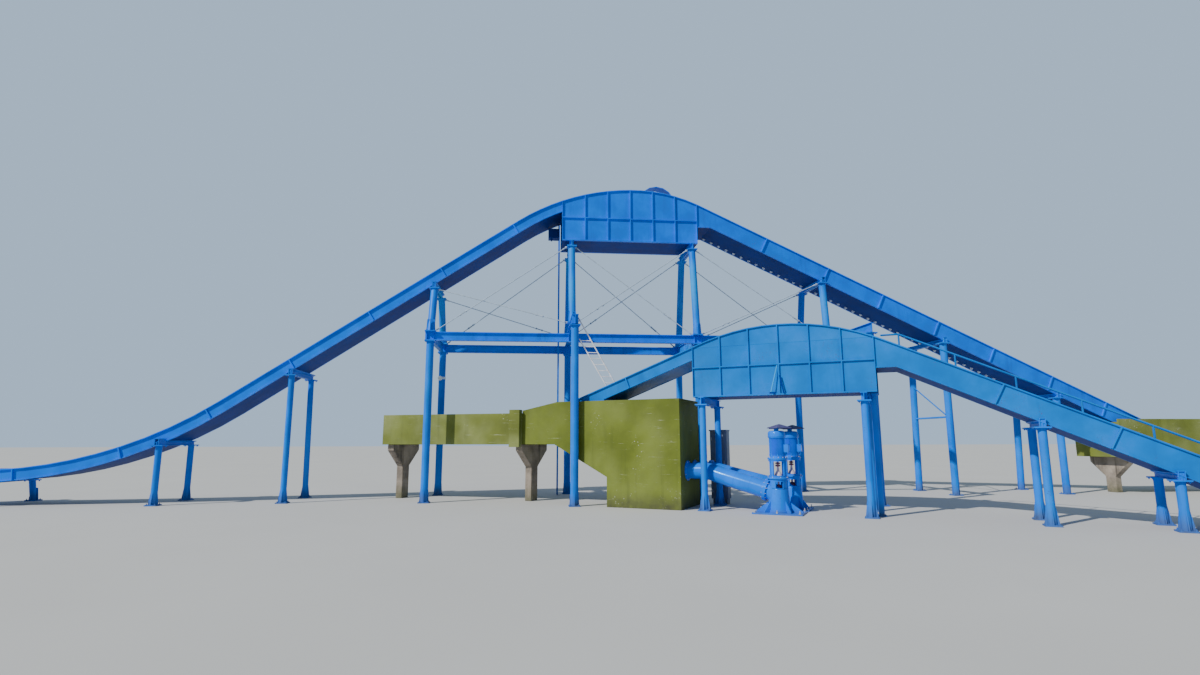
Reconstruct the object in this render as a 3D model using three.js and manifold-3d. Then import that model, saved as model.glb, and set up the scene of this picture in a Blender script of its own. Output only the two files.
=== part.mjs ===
// Water slide tower: a tall lift hill and a smaller one beside it, with their
// slides, lift ramps, columns, middle frame, head tank, troughs and two pumps.
// It is a 1:2 scale model. Every length below is in metres of the full-size
// ride, and piece() turns it into model millimetres. X runs along the tall hill,
// Y away from its front, Z up, and the ground is at Z = 0. The origin is under
// the foot of the forward column of the ladder tower.

import * as THREE from 'three';
import { mergeVertices } from 'three/addons/utils/BufferGeometryUtils.js';
import Module from 'manifold-3d';

const wasm = await Module();
wasm.setup();

// Scale and general values
const SCALE = 1 / 2;
const MODEL_MM = 1000 * SCALE;        // model millimetres in one real metre
const SEAM = 0.0006;                  // clearance between touching pieces
const DEG = Math.PI / 180;

// Channel section, the same on both hills
const PLATE = 0.04;                   // side and floor plates
const WIDTH = 1.75;                   // outer width of every channel
const FLANGE = 0.06;                  // how far the top flange stands out
const LIP = 0.03;                     // how far the bottom flange stands out
const RIB = 0.045;                    // width of a stiffening rib
const RIB_OUT = 0.065;                // how far a rib stands out of its plate

// Fascia panels
const PANEL = 1.0;                    // width of one panel
const PANELS = 6;
const FASCIA = PANEL * PANELS;        // length of a fascia
const KINK = FASCIA + 0.6;            // a ramp's bottom edge is level up to here

// Tall hill
const TALL = {
  crestX: 3.3,                        // where the rim is highest
  crestZ: 13.39,
  slideRadius: 9.3,                   // crest arc towards the slide
  slideAngle: 34 * DEG,
  rampRadius: 6.74,                   // crest arc towards the ramp
  rampAngle: 25 * DEG,
  slideDepth: 0.46,                   // side height, square to the slope
  rampDepth: 0.71,
  fasciaBottom: 10.99,
  fasciaMiddle: 12.03,
};
const SLIDE_STRAIGHT_END = -13.55;    // where the tall slide starts to level out
const RUNOUT_RADIUS = 15.2;
const SLIDE_END = -23.7;
const TALL_SLIDE_SEAMS = [-20.7, -17.05, -14.0, -11.0, -8.0, -5.14, -2.14];
const TALL_RAMP_END = 26.6;
const TALL_RAMP_RIBS = [9.2, 12.0, 14.5, 17.05, 19.6, 22.3, 24.8];

// Small hill, turned and set in front of the tall one
const SMALL_X = 4.52;
const SMALL_Y = -4.48;
const SMALL_TURN = -30.63 * DEG;
const SMALL = {
  crestX: 3.0,
  crestZ: 6.3,
  slideRadius: 7.57,
  slideAngle: 20.5 * DEG,
  rampRadius: 7.57,
  rampAngle: 26 * DEG,
  slideDepth: 0.44,
  rampDepth: 0.67,
  fasciaBottom: 3.89,
  fasciaMiddle: 4.93,
};
const SMALL_SLIDE_END = -5.0;
const SMALL_SLIDE_SEAMS = [-2.6];
const BEARER = [-3.5, -3.4];          // the small slide rests on the tank here
const SMALL_RAMP_END = 14.9;
const SMALL_RAMP_RIBS = [9.43, 12.06, 14.65];

// Columns
const COLUMN_RADIUS = 0.15;
const SMALL_COLUMN_RADIUS = 0.115;
const COLUMN_SIDES = 10;
const HEAD_FRONT = 0.05;              // column head under the near side
const HEAD_BACK = WIDTH + 0.35;       // column head behind the far side
const SLIDE_BACK = [2.5, 2.3];        // back foot and head of the slide's trestles
const RAMP_BACK = [2.75, 2.55];       // and of the tall ramp's
const SMALL_RAMP_BACK = 1.65;
const CAP_OVERHANG = 0.2;             // cap beam past the column centre
const CAP_WIDTH = 0.2;
const CAP_HEIGHT = 0.26;              // under a level crest
const STUB_WIDTH = 0.16;              // stub on the front head, outside a sloped channel
const STUB_HEIGHT = 0.24;
const PAD = 0.42;                     // base and head plates
const PAD_THICK = 0.04;
const GUSSET_HEIGHT = 0.5;
const GUSSET_THICK = 0.03;

// Middle frame
const FRAME_TOP = 6.79;
const BEAM_DEPTH = 0.36;
const BEAM_WIDTH = 0.2;
const BEAM_WEB = 0.05;
const BEAM_FLANGE = 0.04;
const CROSS_DEPTH = BEAM_DEPTH + 0.02; // cross beams sink into the columns' head plates
const CROSS_WIDTH = 0.16;
const FRAME_FRONT = -0.5;
const FRAME_BACK = 3.12;
const GIRDER_TOP = 7.19;              // the ladder tower's girder lies on the beams
const TOWER_X = [-5.35, 0.42, 5.75, 11.6];
const UPPER_FEET = [[-0.5, 3.05], [-0.7, 3.05], [-0.5, 3.05], [-0.35, 2.6]]; // front and back
const UPPER_HEADS = [HEAD_FRONT, HEAD_FRONT, HEAD_FRONT, -0.1];
const OUTRIGGER = [-2.55, -3.85];     // forward columns of the second and last towers

// Tie rods, and the bracing of the first ramp trestle
const TIE_RADIUS = 0.02;
const TIE_LUG = 0.08;
const BRACE = 0.08;                   // angle bars between the columns
const BRACE_HEIGHTS = [3.35, 4.9];

// Side post, handrail and ladders
const SIDE_POST = [5.86, 0.65];
const SIDE_POST_RADIUS = 0.09;
const RAIL = 0.06;
const RUNG = 0.03;
const HANDRAIL_START = 6.2;           // the rail is level up to its first post
const HANDRAIL_POST = 6.74;
const HANDRAIL_HEIGHT = 0.65;
const HANDRAIL_BAYS = 5;
const ACCESS_LADDER_X = -0.04;
const ACCESS_LADDER_BACK = 2.9;
const ACCESS_LADDER_WIDTH = 0.45;
const ACCESS_LADDER_TOP = 12.6;
const ACCESS_RUNGS = 35;
const LEANING_LADDER = [              // rails in the small hill's frame, up to the girder and its column
  { foot: [-3.03, 0.58], head: [-4.472, -0.289, GIRDER_TOP - BEAM_FLANGE - SEAM] },
  { foot: [-3.31, 0.4], head: [-4.411, -0.253, 6.27] },
];
const LEANING_RUNGS = [4.35, 6.2];    // heights of the first and last rung

// Head tank and troughs
const TANK_FRONT = -0.2;
const TANK_BACK = 2.15;
const TANK_RIGHT = -0.47;
const TANK_LEFT = -3.3;
const TANK_TOP = 3.87;
const TANK_WALL = 0.08;
const TROUGH_JOINT = -6.95;
const JOINT_PIER = -7.2;
const FUNNEL_TOP = 3.57;              // of the funnel's side at the joint
const TROUGH_TOP = 3.47;
const TROUGH_BOTTOM = 2.25;
const TROUGH_TURN = 9.9 * DEG;        // the bay behind the joint turns this much
const TROUGH_BAY = 6.25;
// Collar round the bay's side near the joint: its reach along the bay, how far it
// stands out, and how far above and below the side it goes
const COLLAR = { from: 0.03, to: 0.46, out: 0.25, above: 0.13, below: 0.1 };
const RECEIVER = { x0: 24.95, x1: 31.0, y0: -0.35, y1: 2.1, z0: 1.6, z1: 3.3 };
const PIER_STEM = 0.5;
const PIER_ARM = 1.0;
const PIER_THICK = 0.3;

// Pumps and their delivery pipes
const PUMPS = [
  { name: 'front', x: 2.77, y: 0.29, tankY: 0.62, reach: 0.8 },
  { name: 'back', x: 3.0, y: 1.7, tankY: 1.5, reach: 0.6 },
];
const PUMP_BASE = 0.62;               // half the base plate, across; reach is half of it along
const HAT_RADIUS = 0.4;               // from the middle of the rain hat to a corner
const HAT_SHIFT = 0.1;
const WINDOW_TURN = 15 * DEG;
const ELBOW = 0.37;                   // from the pump's axis to where its elbow starts
const FLANGE_THICK = 0.055;
const PIPE_PUMP_Z = 0.64;
const PIPE_TANK_Z = 1.32;
const PIPE_PUMP_END = 0.3;            // pipe radius at the pump
const PIPE_TANK_END = 0.28;           // and at the tank
const PIPE_FLANGE = 0.07;             // how far a pipe's flange stands out
const STUB_END = 0.2;                 // where the level stub of a pipe ends

// Control cabinet behind the pumps, and the drive box hung under the tall slide's top
const CABINET = { x0: -0.13, x1: 0.52, y0: 2.5, y1: 2.95, top: 2.75, plinth: 0.2 };
const DRIVE_BOX = { x0: -0.57, x1: -0.07, y0: 1.25, y1: 1.7, z0: 11.5, z1: 11.93 };

// Wheel guard on the tall crest
const GUARD_CENTRE = [4.43, 13.27];
const GUARD_RADIUS = 0.85;
const GUARD_FOOT = 12.95;
const GUARD_WIDTH = 0.5;

const BLUE = new THREE.MeshStandardMaterial({ color: 0x1285dc, roughness: 0.4, metalness: 0.1 });
const DARK_BLUE = new THREE.MeshStandardMaterial({ color: 0x0b5cae, roughness: 0.45, metalness: 0.1 });
const GREEN = new THREE.MeshStandardMaterial({ color: 0x6d7f2c, roughness: 0.6, metalness: 0.0 });
const CONCRETE = new THREE.MeshStandardMaterial({ color: 0x9c9084, roughness: 0.9, metalness: 0.0 });
const ALUMINIUM = new THREE.MeshStandardMaterial({ color: 0xc8ccd0, roughness: 0.35, metalness: 0.8 });
const PUMP_BLUE = new THREE.MeshStandardMaterial({ color: 0x1286e8, roughness: 0.3, metalness: 0.1 });
const GREY = new THREE.MeshStandardMaterial({ color: 0x7d8492, roughness: 0.5, metalness: 0.1 });

const ORIGIN = [TOWER_X[1], OUTRIGGER[0]];
const ride = new THREE.Group();
ride.position.set(-ORIGIN[0] * MODEL_MM, -ORIGIN[1] * MODEL_MM, 0);
const smallHill = new THREE.Group();
smallHill.position.set(SMALL_X * MODEL_MM, SMALL_Y * MODEL_MM, 0);
smallHill.rotation.z = SMALL_TURN;
ride.add(smallHill);

// Solids

function solid(geometry) {
  const bare = geometry.clone();
  bare.deleteAttribute('normal');
  bare.deleteAttribute('uv');
  const merged = mergeVertices(bare, 1e-5);
  const vertProperties = merged.attributes.position.array;
  const triVerts = new Uint32Array(merged.index.array);
  return new wasm.Manifold(new wasm.Mesh({ numProp: 3, vertProperties, triVerts }));
}

function joined(geometries) {
  return geometries.flat(Infinity).map(solid).reduce((whole, part) => whole.add(part));
}

function cut(geometries, tools) {
  return joined(geometries).subtract(joined(tools));
}

function piece(parent, name, material, manifold) {
  const mesh = manifold.getMesh();
  const geometry = new THREE.BufferGeometry();
  geometry.setAttribute('position', new THREE.BufferAttribute(new Float32Array(mesh.vertProperties), 3));
  geometry.setIndex(new THREE.BufferAttribute(new Uint32Array(mesh.triVerts), 1));
  geometry.scale(MODEL_MM, MODEL_MM, MODEL_MM);
  geometry.computeVertexNormals();
  const node = new THREE.Mesh(geometry, material);
  node.name = name;
  parent.add(node);
  return node;
}

function block(x0, x1, y0, y1, z0, z1) {
  const geometry = new THREE.BoxGeometry(x1 - x0, y1 - y0, z1 - z0);
  return geometry.translate((x0 + x1) / 2, (y0 + y1) / 2, (z0 + z1) / 2);
}

function outline(points) {
  return new THREE.Shape(points.map(([x, y]) => new THREE.Vector2(x, y)));
}

// An outline in X and Z, pushed from y0 to y1
function wall(points, y0, y1) {
  const geometry = new THREE.ExtrudeGeometry(outline(points), { depth: y1 - y0, bevelEnabled: false });
  return geometry.rotateX(Math.PI / 2).translate(0, y1, 0);
}

// Places a shape that was drawn along +Z from one point to another
function alongLine(geometry, from, to) {
  const start = new THREE.Vector3(...from);
  const direction = new THREE.Vector3(...to).sub(start).normalize();
  const up = Math.abs(direction.z) > 0.9 ? new THREE.Vector3(0, 1, 0) : new THREE.Vector3(0, 0, 1);
  const side = new THREE.Vector3().crossVectors(up, direction).normalize();
  const rise = new THREE.Vector3().crossVectors(direction, side);
  const place = new THREE.Matrix4().makeBasis(side, rise, direction).setPosition(start);
  return geometry.applyMatrix4(place);
}

function distance(from, to) {
  return new THREE.Vector3(...from).distanceTo(new THREE.Vector3(...to));
}

function rod(from, to, radius, sides = 8, endRadius = radius) {
  const length = distance(from, to);
  const geometry = new THREE.CylinderGeometry(endRadius, radius, length, sides);
  geometry.rotateX(Math.PI / 2).translate(0, 0, length / 2);
  return alongLine(geometry, from, to);
}

function bar(from, to, width, height) {
  const length = distance(from, to);
  return alongLine(new THREE.BoxGeometry(width, height, length).translate(0, 0, length / 2), from, to);
}

// An I-section whose top face runs through the two points
function beam(from, to, depth = BEAM_DEPTH, width = BEAM_WIDTH) {
  const w = width / 2;
  const web = BEAM_WEB / 2;
  const f = BEAM_FLANGE;
  const section = [
    [-w, -depth], [w, -depth], [w, f - depth], [web, f - depth], [web, -f], [w, -f],
    [w, 0], [-w, 0], [-w, -f], [-web, -f], [-web, f - depth], [-w, f - depth],
  ];
  const options = { depth: distance(from, to), bevelEnabled: false };
  return alongLine(new THREE.ExtrudeGeometry(outline(section), options), from, to);
}

// Rim of a hill at a place along it: a slide, an arc over the crest and a ramp
function rimHeight(hill, x) {
  const onRamp = x > hill.crestX;
  const radius = onRamp ? hill.rampRadius : hill.slideRadius;
  const angle = onRamp ? hill.rampAngle : hill.slideAngle;
  const away = Math.abs(x - hill.crestX);
  const reach = radius * Math.sin(angle);
  if (away < reach) return hill.crestZ - radius + Math.sqrt(radius * radius - away * away);
  return hill.crestZ - radius * (1 - Math.cos(angle)) - (away - reach) * Math.tan(angle);
}

const RUNOUT_LEVEL = SLIDE_STRAIGHT_END - RUNOUT_RADIUS * Math.sin(TALL.slideAngle);

function slideRim(x) {
  if (x > SLIDE_STRAIGHT_END) return rimHeight(TALL, x);
  const low = rimHeight(TALL, SLIDE_STRAIGHT_END) - RUNOUT_RADIUS * (1 - Math.cos(TALL.slideAngle));
  const away = Math.max(x - RUNOUT_LEVEL, 0);
  return low + RUNOUT_RADIUS - Math.sqrt(RUNOUT_RADIUS * RUNOUT_RADIUS - away * away);
}

function rimPath(rim, places) {
  return places.map((x) => [x, rim(x)]);
}

function steps(from, to, count) {
  return Array.from({ length: count + 1 }, (unused, i) => from + ((to - from) * i) / count);
}

// The same path, set down square to itself and cut upright at its two ends
function lowered(path, depth) {
  return path.map(([x, z], i) => {
    const [xa, za] = path[Math.max(i - 1, 0)];
    const [xb, zb] = path[Math.min(i + 1, path.length - 1)];
    const length = Math.hypot(xb - xa, zb - za);
    const atEnd = i === 0 || i === path.length - 1;
    if (atEnd) return [x, z - (depth * length) / Math.abs(xb - xa)];
    return [x + (depth * (zb - za)) / length, z - (depth * (xb - xa)) / length];
  });
}

function between(top, bottom) {
  return [...top, ...[...bottom].reverse()];
}

// A slide is as deep all along, and a ramp's bottom edge starts level
function slideChannel(rim, places, depth) {
  const top = rimPath(rim, places);
  return { top, bottom: lowered(top, depth), depth };
}

function rampChannel(hill, end) {
  const rim = (x) => rimHeight(hill, x);
  const drop = hill.rampDepth / Math.cos(hill.rampAngle);
  const bend = hill.crestX + hill.rampRadius * Math.sin(hill.rampAngle);
  const kinkZ = rim(KINK) - drop;
  const top = rimPath(rim, [FASCIA + SEAM, bend, end]);
  const bottom = [[FASCIA + SEAM, kinkZ], [KINK, kinkZ], [end, rim(end) - drop]];
  return { top, bottom, depth: hill.rampDepth };
}

// A rib stands square to the rim at a place along it
function ribOutline({ top, depth }, x) {
  const i = top.findIndex(([px]) => px > x);
  const [xa, za] = top[i - 1];
  const [xb, zb] = top[i];
  const length = Math.hypot(xb - xa, zb - za);
  const along = [(xb - xa) / length, (zb - za) / length];
  const down = [along[1], -along[0]];
  const z = za + ((x - xa) * (zb - za)) / (xb - xa);
  const corner = (a, b) => [x + along[0] * a + down[0] * b, z + along[1] * a + down[1] * b];
  const half = RIB / 2;
  const inset = PLATE / 4;
  const low = depth - inset;
  return [corner(-half, inset), corner(half, inset), corner(half, low), corner(-half, low)];
}

// One side of a channel: plate, top flange, bottom lip and ribs, facing out to -Y or +Y
function channelSide(channel, ribs, near) {
  const inner = near ? PLATE : WIDTH - PLATE;
  const outer = near ? 0 : WIDTH;
  const out = near ? -1 : 1;
  const span = (reach) => [inner, outer + out * reach].sort((a, b) => a - b);
  const { top, bottom } = channel;
  const parts = [
    wall(between(top, bottom), ...span(0)),
    wall(between(top, lowered(top, PLATE)), ...span(FLANGE)),
    wall(between(lowered(bottom, -PLATE), bottom), ...span(LIP)),
  ];
  for (const x of ribs) parts.push(wall(ribOutline(channel, x), ...span(RIB_OUT)));
  return joined(parts);
}

// The floor lies between the sides, level with their bottom edges
function channelFloor({ bottom }) {
  return joined([wall(between(lowered(bottom, -PLATE), bottom), PLATE + SEAM, WIDTH - PLATE - SEAM)]);
}

function addChannel(parent, name, channel, ribs) {
  piece(parent, `${name}_near_side`, BLUE, channelSide(channel, ribs, true));
  piece(parent, `${name}_far_side`, BLUE, channelSide(channel, ribs, false));
  piece(parent, `${name}_floor`, DARK_BLUE, channelFloor(channel));
}

// Hills

function fascia(hill, near) {
  const rim = (x) => rimHeight(hill, x);
  const top = rimPath(rim, steps(0, FASCIA, 12));
  const y0 = near ? 0 : WIDTH - PLATE;
  const out = near ? [-RIB_OUT, PLATE] : [WIDTH - PLATE, WIDTH + RIB_OUT];
  const edge = near ? [-FLANGE, PLATE] : [WIDTH - PLATE, WIDTH + FLANGE];
  const half = RIB / 2;
  const parts = [
    wall([[0, hill.fasciaBottom], ...top, [FASCIA, hill.fasciaBottom]], y0, y0 + PLATE),
    wall(between(top, lowered(top, PLATE)), ...edge),
    block(0, FASCIA, ...out, hill.fasciaMiddle - half, hill.fasciaMiddle + half),
    block(0, FASCIA, ...out, hill.fasciaBottom, hill.fasciaBottom + RIB),
  ];
  for (const i of steps(0, PANELS, PANELS)) {
    const x0 = Math.max(i * PANEL - half, 0);
    const x1 = Math.min(i * PANEL + half, FASCIA);
    const z = Math.min(rim(x0), rim(x1)) - PLATE / 2;
    parts.push(block(x0, x1, ...out, hill.fasciaBottom, z));
  }
  return joined(parts);
}

// The crest floor joins the slide's floor to the ramp's
function crestFloor(hill) {
  const slideDrop = hill.slideDepth / Math.cos(hill.slideAngle);
  const kinkZ = rimHeight(hill, KINK) - hill.rampDepth / Math.cos(hill.rampAngle);
  const rampDrop = rimHeight(hill, FASCIA) - kinkZ;
  const drop = (x) => slideDrop + ((rampDrop - slideDrop) * x) / FASCIA;
  const bottom = rimPath((x) => rimHeight(hill, x) - drop(x), steps(SEAM, FASCIA - SEAM, 10));
  return between(bottom.map(([x, z]) => [x, z + PLATE]), bottom);
}

function addCrest(parent, name, hill) {
  piece(parent, `${name}_fascia_front`, BLUE, fascia(hill, true));
  piece(parent, `${name}_fascia_back`, BLUE, fascia(hill, false));
  const inside = [PLATE + SEAM, WIDTH - PLATE - SEAM];
  const bottom = block(0, FASCIA, ...inside, hill.fasciaBottom, hill.fasciaBottom + PLATE);
  piece(parent, `${name}_underside`, DARK_BLUE, joined([bottom]));
  piece(parent, `${name}_crest_floor`, DARK_BLUE, joined([wall(crestFloor(hill), ...inside)]));
}

const tallSlideBend = TALL.crestX - TALL.slideRadius * Math.sin(TALL.slideAngle);
const tallSlidePlaces = [
  SLIDE_END,
  ...steps(RUNOUT_LEVEL, SLIDE_STRAIGHT_END, 10),
  ...steps(tallSlideBend, -SEAM, 4),
];
const tallSlide = slideChannel(slideRim, tallSlidePlaces, TALL.slideDepth);
const tallRamp = rampChannel(TALL, TALL_RAMP_END);
const smallSlide = slideChannel((x) => rimHeight(SMALL, x), [SMALL_SLIDE_END, -SEAM], SMALL.slideDepth);
const smallRamp = rampChannel(SMALL, SMALL_RAMP_END);

function addHills() {
  addCrest(ride, 'tall', TALL);
  addChannel(ride, 'tall_slide', tallSlide, TALL_SLIDE_SEAMS);
  addChannel(ride, 'tall_ramp', tallRamp, TALL_RAMP_RIBS);
  addCrest(smallHill, 'small', SMALL);
  const sides = [true, false].map((near) => channelSide(smallSlide, SMALL_SLIDE_SEAMS, near));
  const { bottom } = smallSlide;
  const plate = between(lowered(bottom, -PLATE), lowered(bottom, -PLATE / 4));
  const floor = joined([wall(plate, PLATE / 2, WIDTH - PLATE / 2)]);
  const bearerTop = undersideAt(smallSlide, BEARER[0]) + PLATE * 0.7;
  const bearer = joined([block(...BEARER, TANK_FRONT, TANK_BACK, TANK_TOP + SEAM, bearerTop)]);
  piece(smallHill, 'small_slide', BLUE, sides[0].add(sides[1]).add(floor).add(bearer));
  addChannel(smallHill, 'small_ramp', smallRamp, SMALL_RAMP_RIBS);
}

// Height of a channel's underside at a place along it
function undersideAt({ bottom }, x) {
  const i = Math.max(bottom.findIndex(([px]) => px >= x), 1);
  const [xa, za] = bottom[i - 1];
  const [xb, zb] = bottom[i];
  return za + ((x - xa) * (zb - za)) / (xb - xa);
}

// Height of a slide's floor, which lies on its bottom edge
function floorTop(channel, hill, x) {
  return undersideAt(channel, x) + PLATE / Math.cos(hill.slideAngle);
}

// Columns

function gussets(x, y, z, radius) {
  const reach = PAD / 2 - GUSSET_THICK;
  const t = GUSSET_THICK / 2;
  const tip = radius / 2;
  const fin = [[-reach, 0], [reach, 0], [tip, GUSSET_HEIGHT], [-tip, GUSSET_HEIGHT]];
  const across = wall(fin, -t, t);
  const along = wall(fin, -t, t).rotateZ(Math.PI / 2);
  return [across.translate(x, y, z), along.translate(x, y, z)];
}

// A round shaft between two level cuts, leaning where the head isn't over the foot
function shaft([fx, fy, fz], [hx, hy, hz], radius, sides) {
  const height = hz - fz;
  const geometry = new THREE.CylinderGeometry(radius, radius, height, sides);
  geometry.rotateX(Math.PI / 2).translate(0, 0, height / 2);
  const lean = new THREE.Matrix4();
  lean.set(1, 0, (hx - fx) / height, fx, 0, 1, (hy - fy) / height, fy, 0, 0, 1, fz, 0, 0, 0, 1);
  return geometry.applyMatrix4(lean);
}

// A round column with a base plate and gussets at its foot and a plate at its head
function column(foot, head, radius = COLUMN_RADIUS) {
  const half = PAD / 2;
  const [fx, fy, fz] = foot;
  const [hx, hy, hz] = head;
  return [
    shaft([fx, fy, fz + PAD_THICK / 2], [hx, hy, hz - PAD_THICK / 2], radius, COLUMN_SIDES),
    block(fx - half, fx + half, fy - half, fy + half, fz, fz + PAD_THICK),
    block(hx - half, hx + half, hy - half, hy + half, hz - PAD_THICK, hz),
    ...gussets(fx, fy, fz + PAD_THICK / 2, radius),
  ];
}

// A cap beam across two column heads, cut to the slope of what it carries. Under a
// slope it is thin, and a stub stands on its front end, outside the channel.
function capBeam(x, under, y0, y1) {
  const half = CAP_WIDTH / 2;
  const left = under(x - half);
  const right = under(x + half);
  const level = left === right;
  const chord = (at) => left + ((right - left) * (at - x + half)) / CAP_WIDTH;
  const clear = SEAM + Math.max(...steps(x - half, x + half, 20).map((at) => chord(at) - under(at)));
  const plateEdges = [x - PAD / 2, x + PAD / 2].map(under);
  const low = Math.min(...plateEdges) - clear - (level ? CAP_HEIGHT : PAD_THICK);
  const section = [[x - half, low], [x + half, low], [x + half, right - clear], [x - half, left - clear]];
  const w = STUB_WIDTH / 2;
  const stub = block(x - w, x + w, y0 - PLATE / 4, -RIB_OUT - PLATE / 4, low + PLATE / 4, low + STUB_HEIGHT);
  return { parts: [wall(section, y0, y1), ...(level ? [] : [stub])], low };
}

// Two columns and the cap beam that carries a channel or a crest. Each leg gives the
// places of its foot and head across the channel, and the height of its foot.
function trestle(x, under, legs, radius) {
  const heads = legs.map(([, head]) => head);
  const { parts, low } = capBeam(x, under, heads[0] - CAP_OVERHANG, heads[1] + CAP_OVERHANG);
  const columns = legs.map(([foot, head, footZ]) => {
    return column([x, foot, footZ], [x, head, low + PAD_THICK / 2], radius);
  });
  return joined([parts, columns]);
}

const slideUnder = (x) => undersideAt(tallSlide, x);
const rampUnder = (x) => undersideAt(tallRamp, x);
const crestUnder = () => TALL.fasciaBottom;
const TOWER_UNDER = [slideUnder, crestUnder, crestUnder, rampUnder];
const FRONT_LEG = [HEAD_FRONT, HEAD_FRONT, 0];
const UPRIGHT = [FRONT_LEG, [HEAD_BACK, HEAD_BACK, 0]];
const NARROW = [FRONT_LEG, [SMALL_RAMP_BACK, SMALL_RAMP_BACK, 0]];
const SPREAD = [FRONT_LEG, [...SLIDE_BACK, 0]];
const WIDE = [FRONT_LEG, [...RAMP_BACK, 0]];
const FORWARD = [[-0.37, -0.37, 0], [1.95, 1.95, 0]];

function towerLegs(i) {
  const z = (i === 1 ? GIRDER_TOP : FRAME_TOP) + SEAM;
  const [front, back] = UPPER_FEET[i];
  return [[front, UPPER_HEADS[i], z], [back, HEAD_BACK, z]];
}

// Crossed tie rods from a tower to the next one, in the front and the back plane.
// Their far ends are lugs that lie against the next tower's plates.
function tieRods(i) {
  const half = TIE_LUG / 2;
  const plates = [i, i + 1].map((k) => {
    const { low } = capBeam(TOWER_X[k], TOWER_UNDER[k], 0, 1);
    return towerLegs(k).map(([foot, head, footZ]) => {
      return { high: [head, low - half], deep: [foot, footZ + half + SEAM] };
    });
  });
  const start = TOWER_X[i] + PAD / 2 - half;
  const end = TOWER_X[i + 1] - PAD / 2 - SEAM - half;
  const parts = [];
  for (const side of [0, 1]) {
    const [from, to] = plates.map((legs) => legs[side]);
    const rods = [[[start, ...from.high], [end, ...to.deep]], [[start, ...from.deep], [end, ...to.high]]];
    for (const ends of rods) {
      parts.push(rod(...ends, TIE_RADIUS, 4));
      for (const [x, y, z] of ends) {
        parts.push(block(x - half, x + half, y - half, y + half, z - half, z + half));
      }
    }
  }
  return joined(parts);
}

// A strut between the two columns of a trestle, and a brace above it
function braces(x) {
  const [low, high] = BRACE_HEIGHTS;
  const [footY, headY] = RAMP_BACK;
  const half = BRACE / 2;
  const near = HEAD_FRONT + COLUMN_RADIUS / 2;
  const far = (footY + headY) / 2 - COLUMN_RADIUS / 2;
  const angle = (points) => wall(points, -half, half).rotateZ(Math.PI / 2).translate(x, 0, 0);
  const strut = angle([[near, low], [far, low], [far, low + BRACE], [near, low + BRACE]]);
  const brace = angle([[near, low + BRACE], [near + BRACE, low + BRACE], [far, high], [far, high + BRACE]]);
  return joined([strut, brace]);
}

function addTallTrestles() {
  const thin = SMALL_COLUMN_RADIUS;
  piece(ride, 'slide_trestle_1', BLUE, trestle(-21.6, slideUnder, SPREAD, thin));
  piece(ride, 'slide_trestle_2', BLUE, trestle(-15.38, slideUnder, FORWARD, thin));
  piece(ride, 'slide_trestle_3', BLUE, trestle(-10.85, slideUnder, SPREAD, thin));
  TOWER_X.forEach((x, i) => {
    const tower = trestle(x, TOWER_UNDER[i], towerLegs(i));
    piece(ride, `upper_tower_${i + 1}`, BLUE, i < TOWER_X.length - 1 ? tower.add(tieRods(i)) : tower);
  });
  piece(ride, 'ramp_trestle_1', BLUE, trestle(17.2, rampUnder, WIDE).add(braces(17.2)));
  piece(ride, 'ramp_trestle_2', BLUE, trestle(22.42, rampUnder, WIDE));
}

// Two long beams, and at each tower two columns with a cross beam between them.
// The ladder tower has a girder instead, which lies on the beams and runs forward
// to a column of its own. The last tower's cross beam runs forward the same way.
function addMiddleFrame() {
  const x0 = TOWER_X[0] - PAD / 2;
  const x1 = TOWER_X[3] + PAD / 2;
  const frontEnd = TOWER_X[3] - CROSS_WIDTH / 2 - SEAM;
  const girderWidth = BEAM_WIDTH * 1.3;
  const under = FRAME_TOP - BEAM_DEPTH - SEAM;
  const reach = BEAM_WIDTH / 2 + SEAM;
  const backColumn = (x) => column([x, FRAME_BACK, 0], [x, FRAME_BACK, under]);
  const longBeam = (y, end) => joined([beam([x0, y, FRAME_TOP], [end, y, FRAME_TOP])]);
  piece(ride, 'long_beam_front', BLUE, longBeam(FRAME_FRONT, frontEnd));
  piece(ride, 'long_beam_back', BLUE, longBeam(FRAME_BACK, x1));
  TOWER_X.forEach((x, i) => {
    const cross = (y0) => {
      return beam([x, y0, FRAME_TOP], [x, FRAME_BACK - reach, FRAME_TOP], CROSS_DEPTH, CROSS_WIDTH);
    };
    if (i === 1) {
      const depth = GIRDER_TOP - FRAME_TOP - SEAM;
      const ends = [OUTRIGGER[0] - PAD / 2, FRAME_BACK + PAD / 2].map((y) => [x, y, GIRDER_TOP]);
      const top = FRAME_TOP + SEAM + PAD_THICK / 2;
      const forward = column([x, OUTRIGGER[0], 0], [x, OUTRIGGER[0], top]);
      piece(ride, 'ladder_tower_girder', BLUE, joined([beam(...ends, depth, girderWidth), forward]));
      piece(ride, 'ladder_tower_back_column', BLUE, joined(backColumn(x)));
      return;
    }
    const last = i === 3;
    const y = last ? OUTRIGGER[1] : FRAME_FRONT;
    const top = last ? FRAME_TOP - CROSS_DEPTH + PAD_THICK / 2 : under;
    const beamStart = last ? y - PAD / 2 : y + reach;
    const parts = [column([x, y, 0], [x, y, top]), backColumn(x), cross(beamStart)];
    piece(ride, `lower_portal_${i + 1}`, BLUE, joined(parts));
  });
}

// Small hill: its columns, side post and handrail

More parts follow.
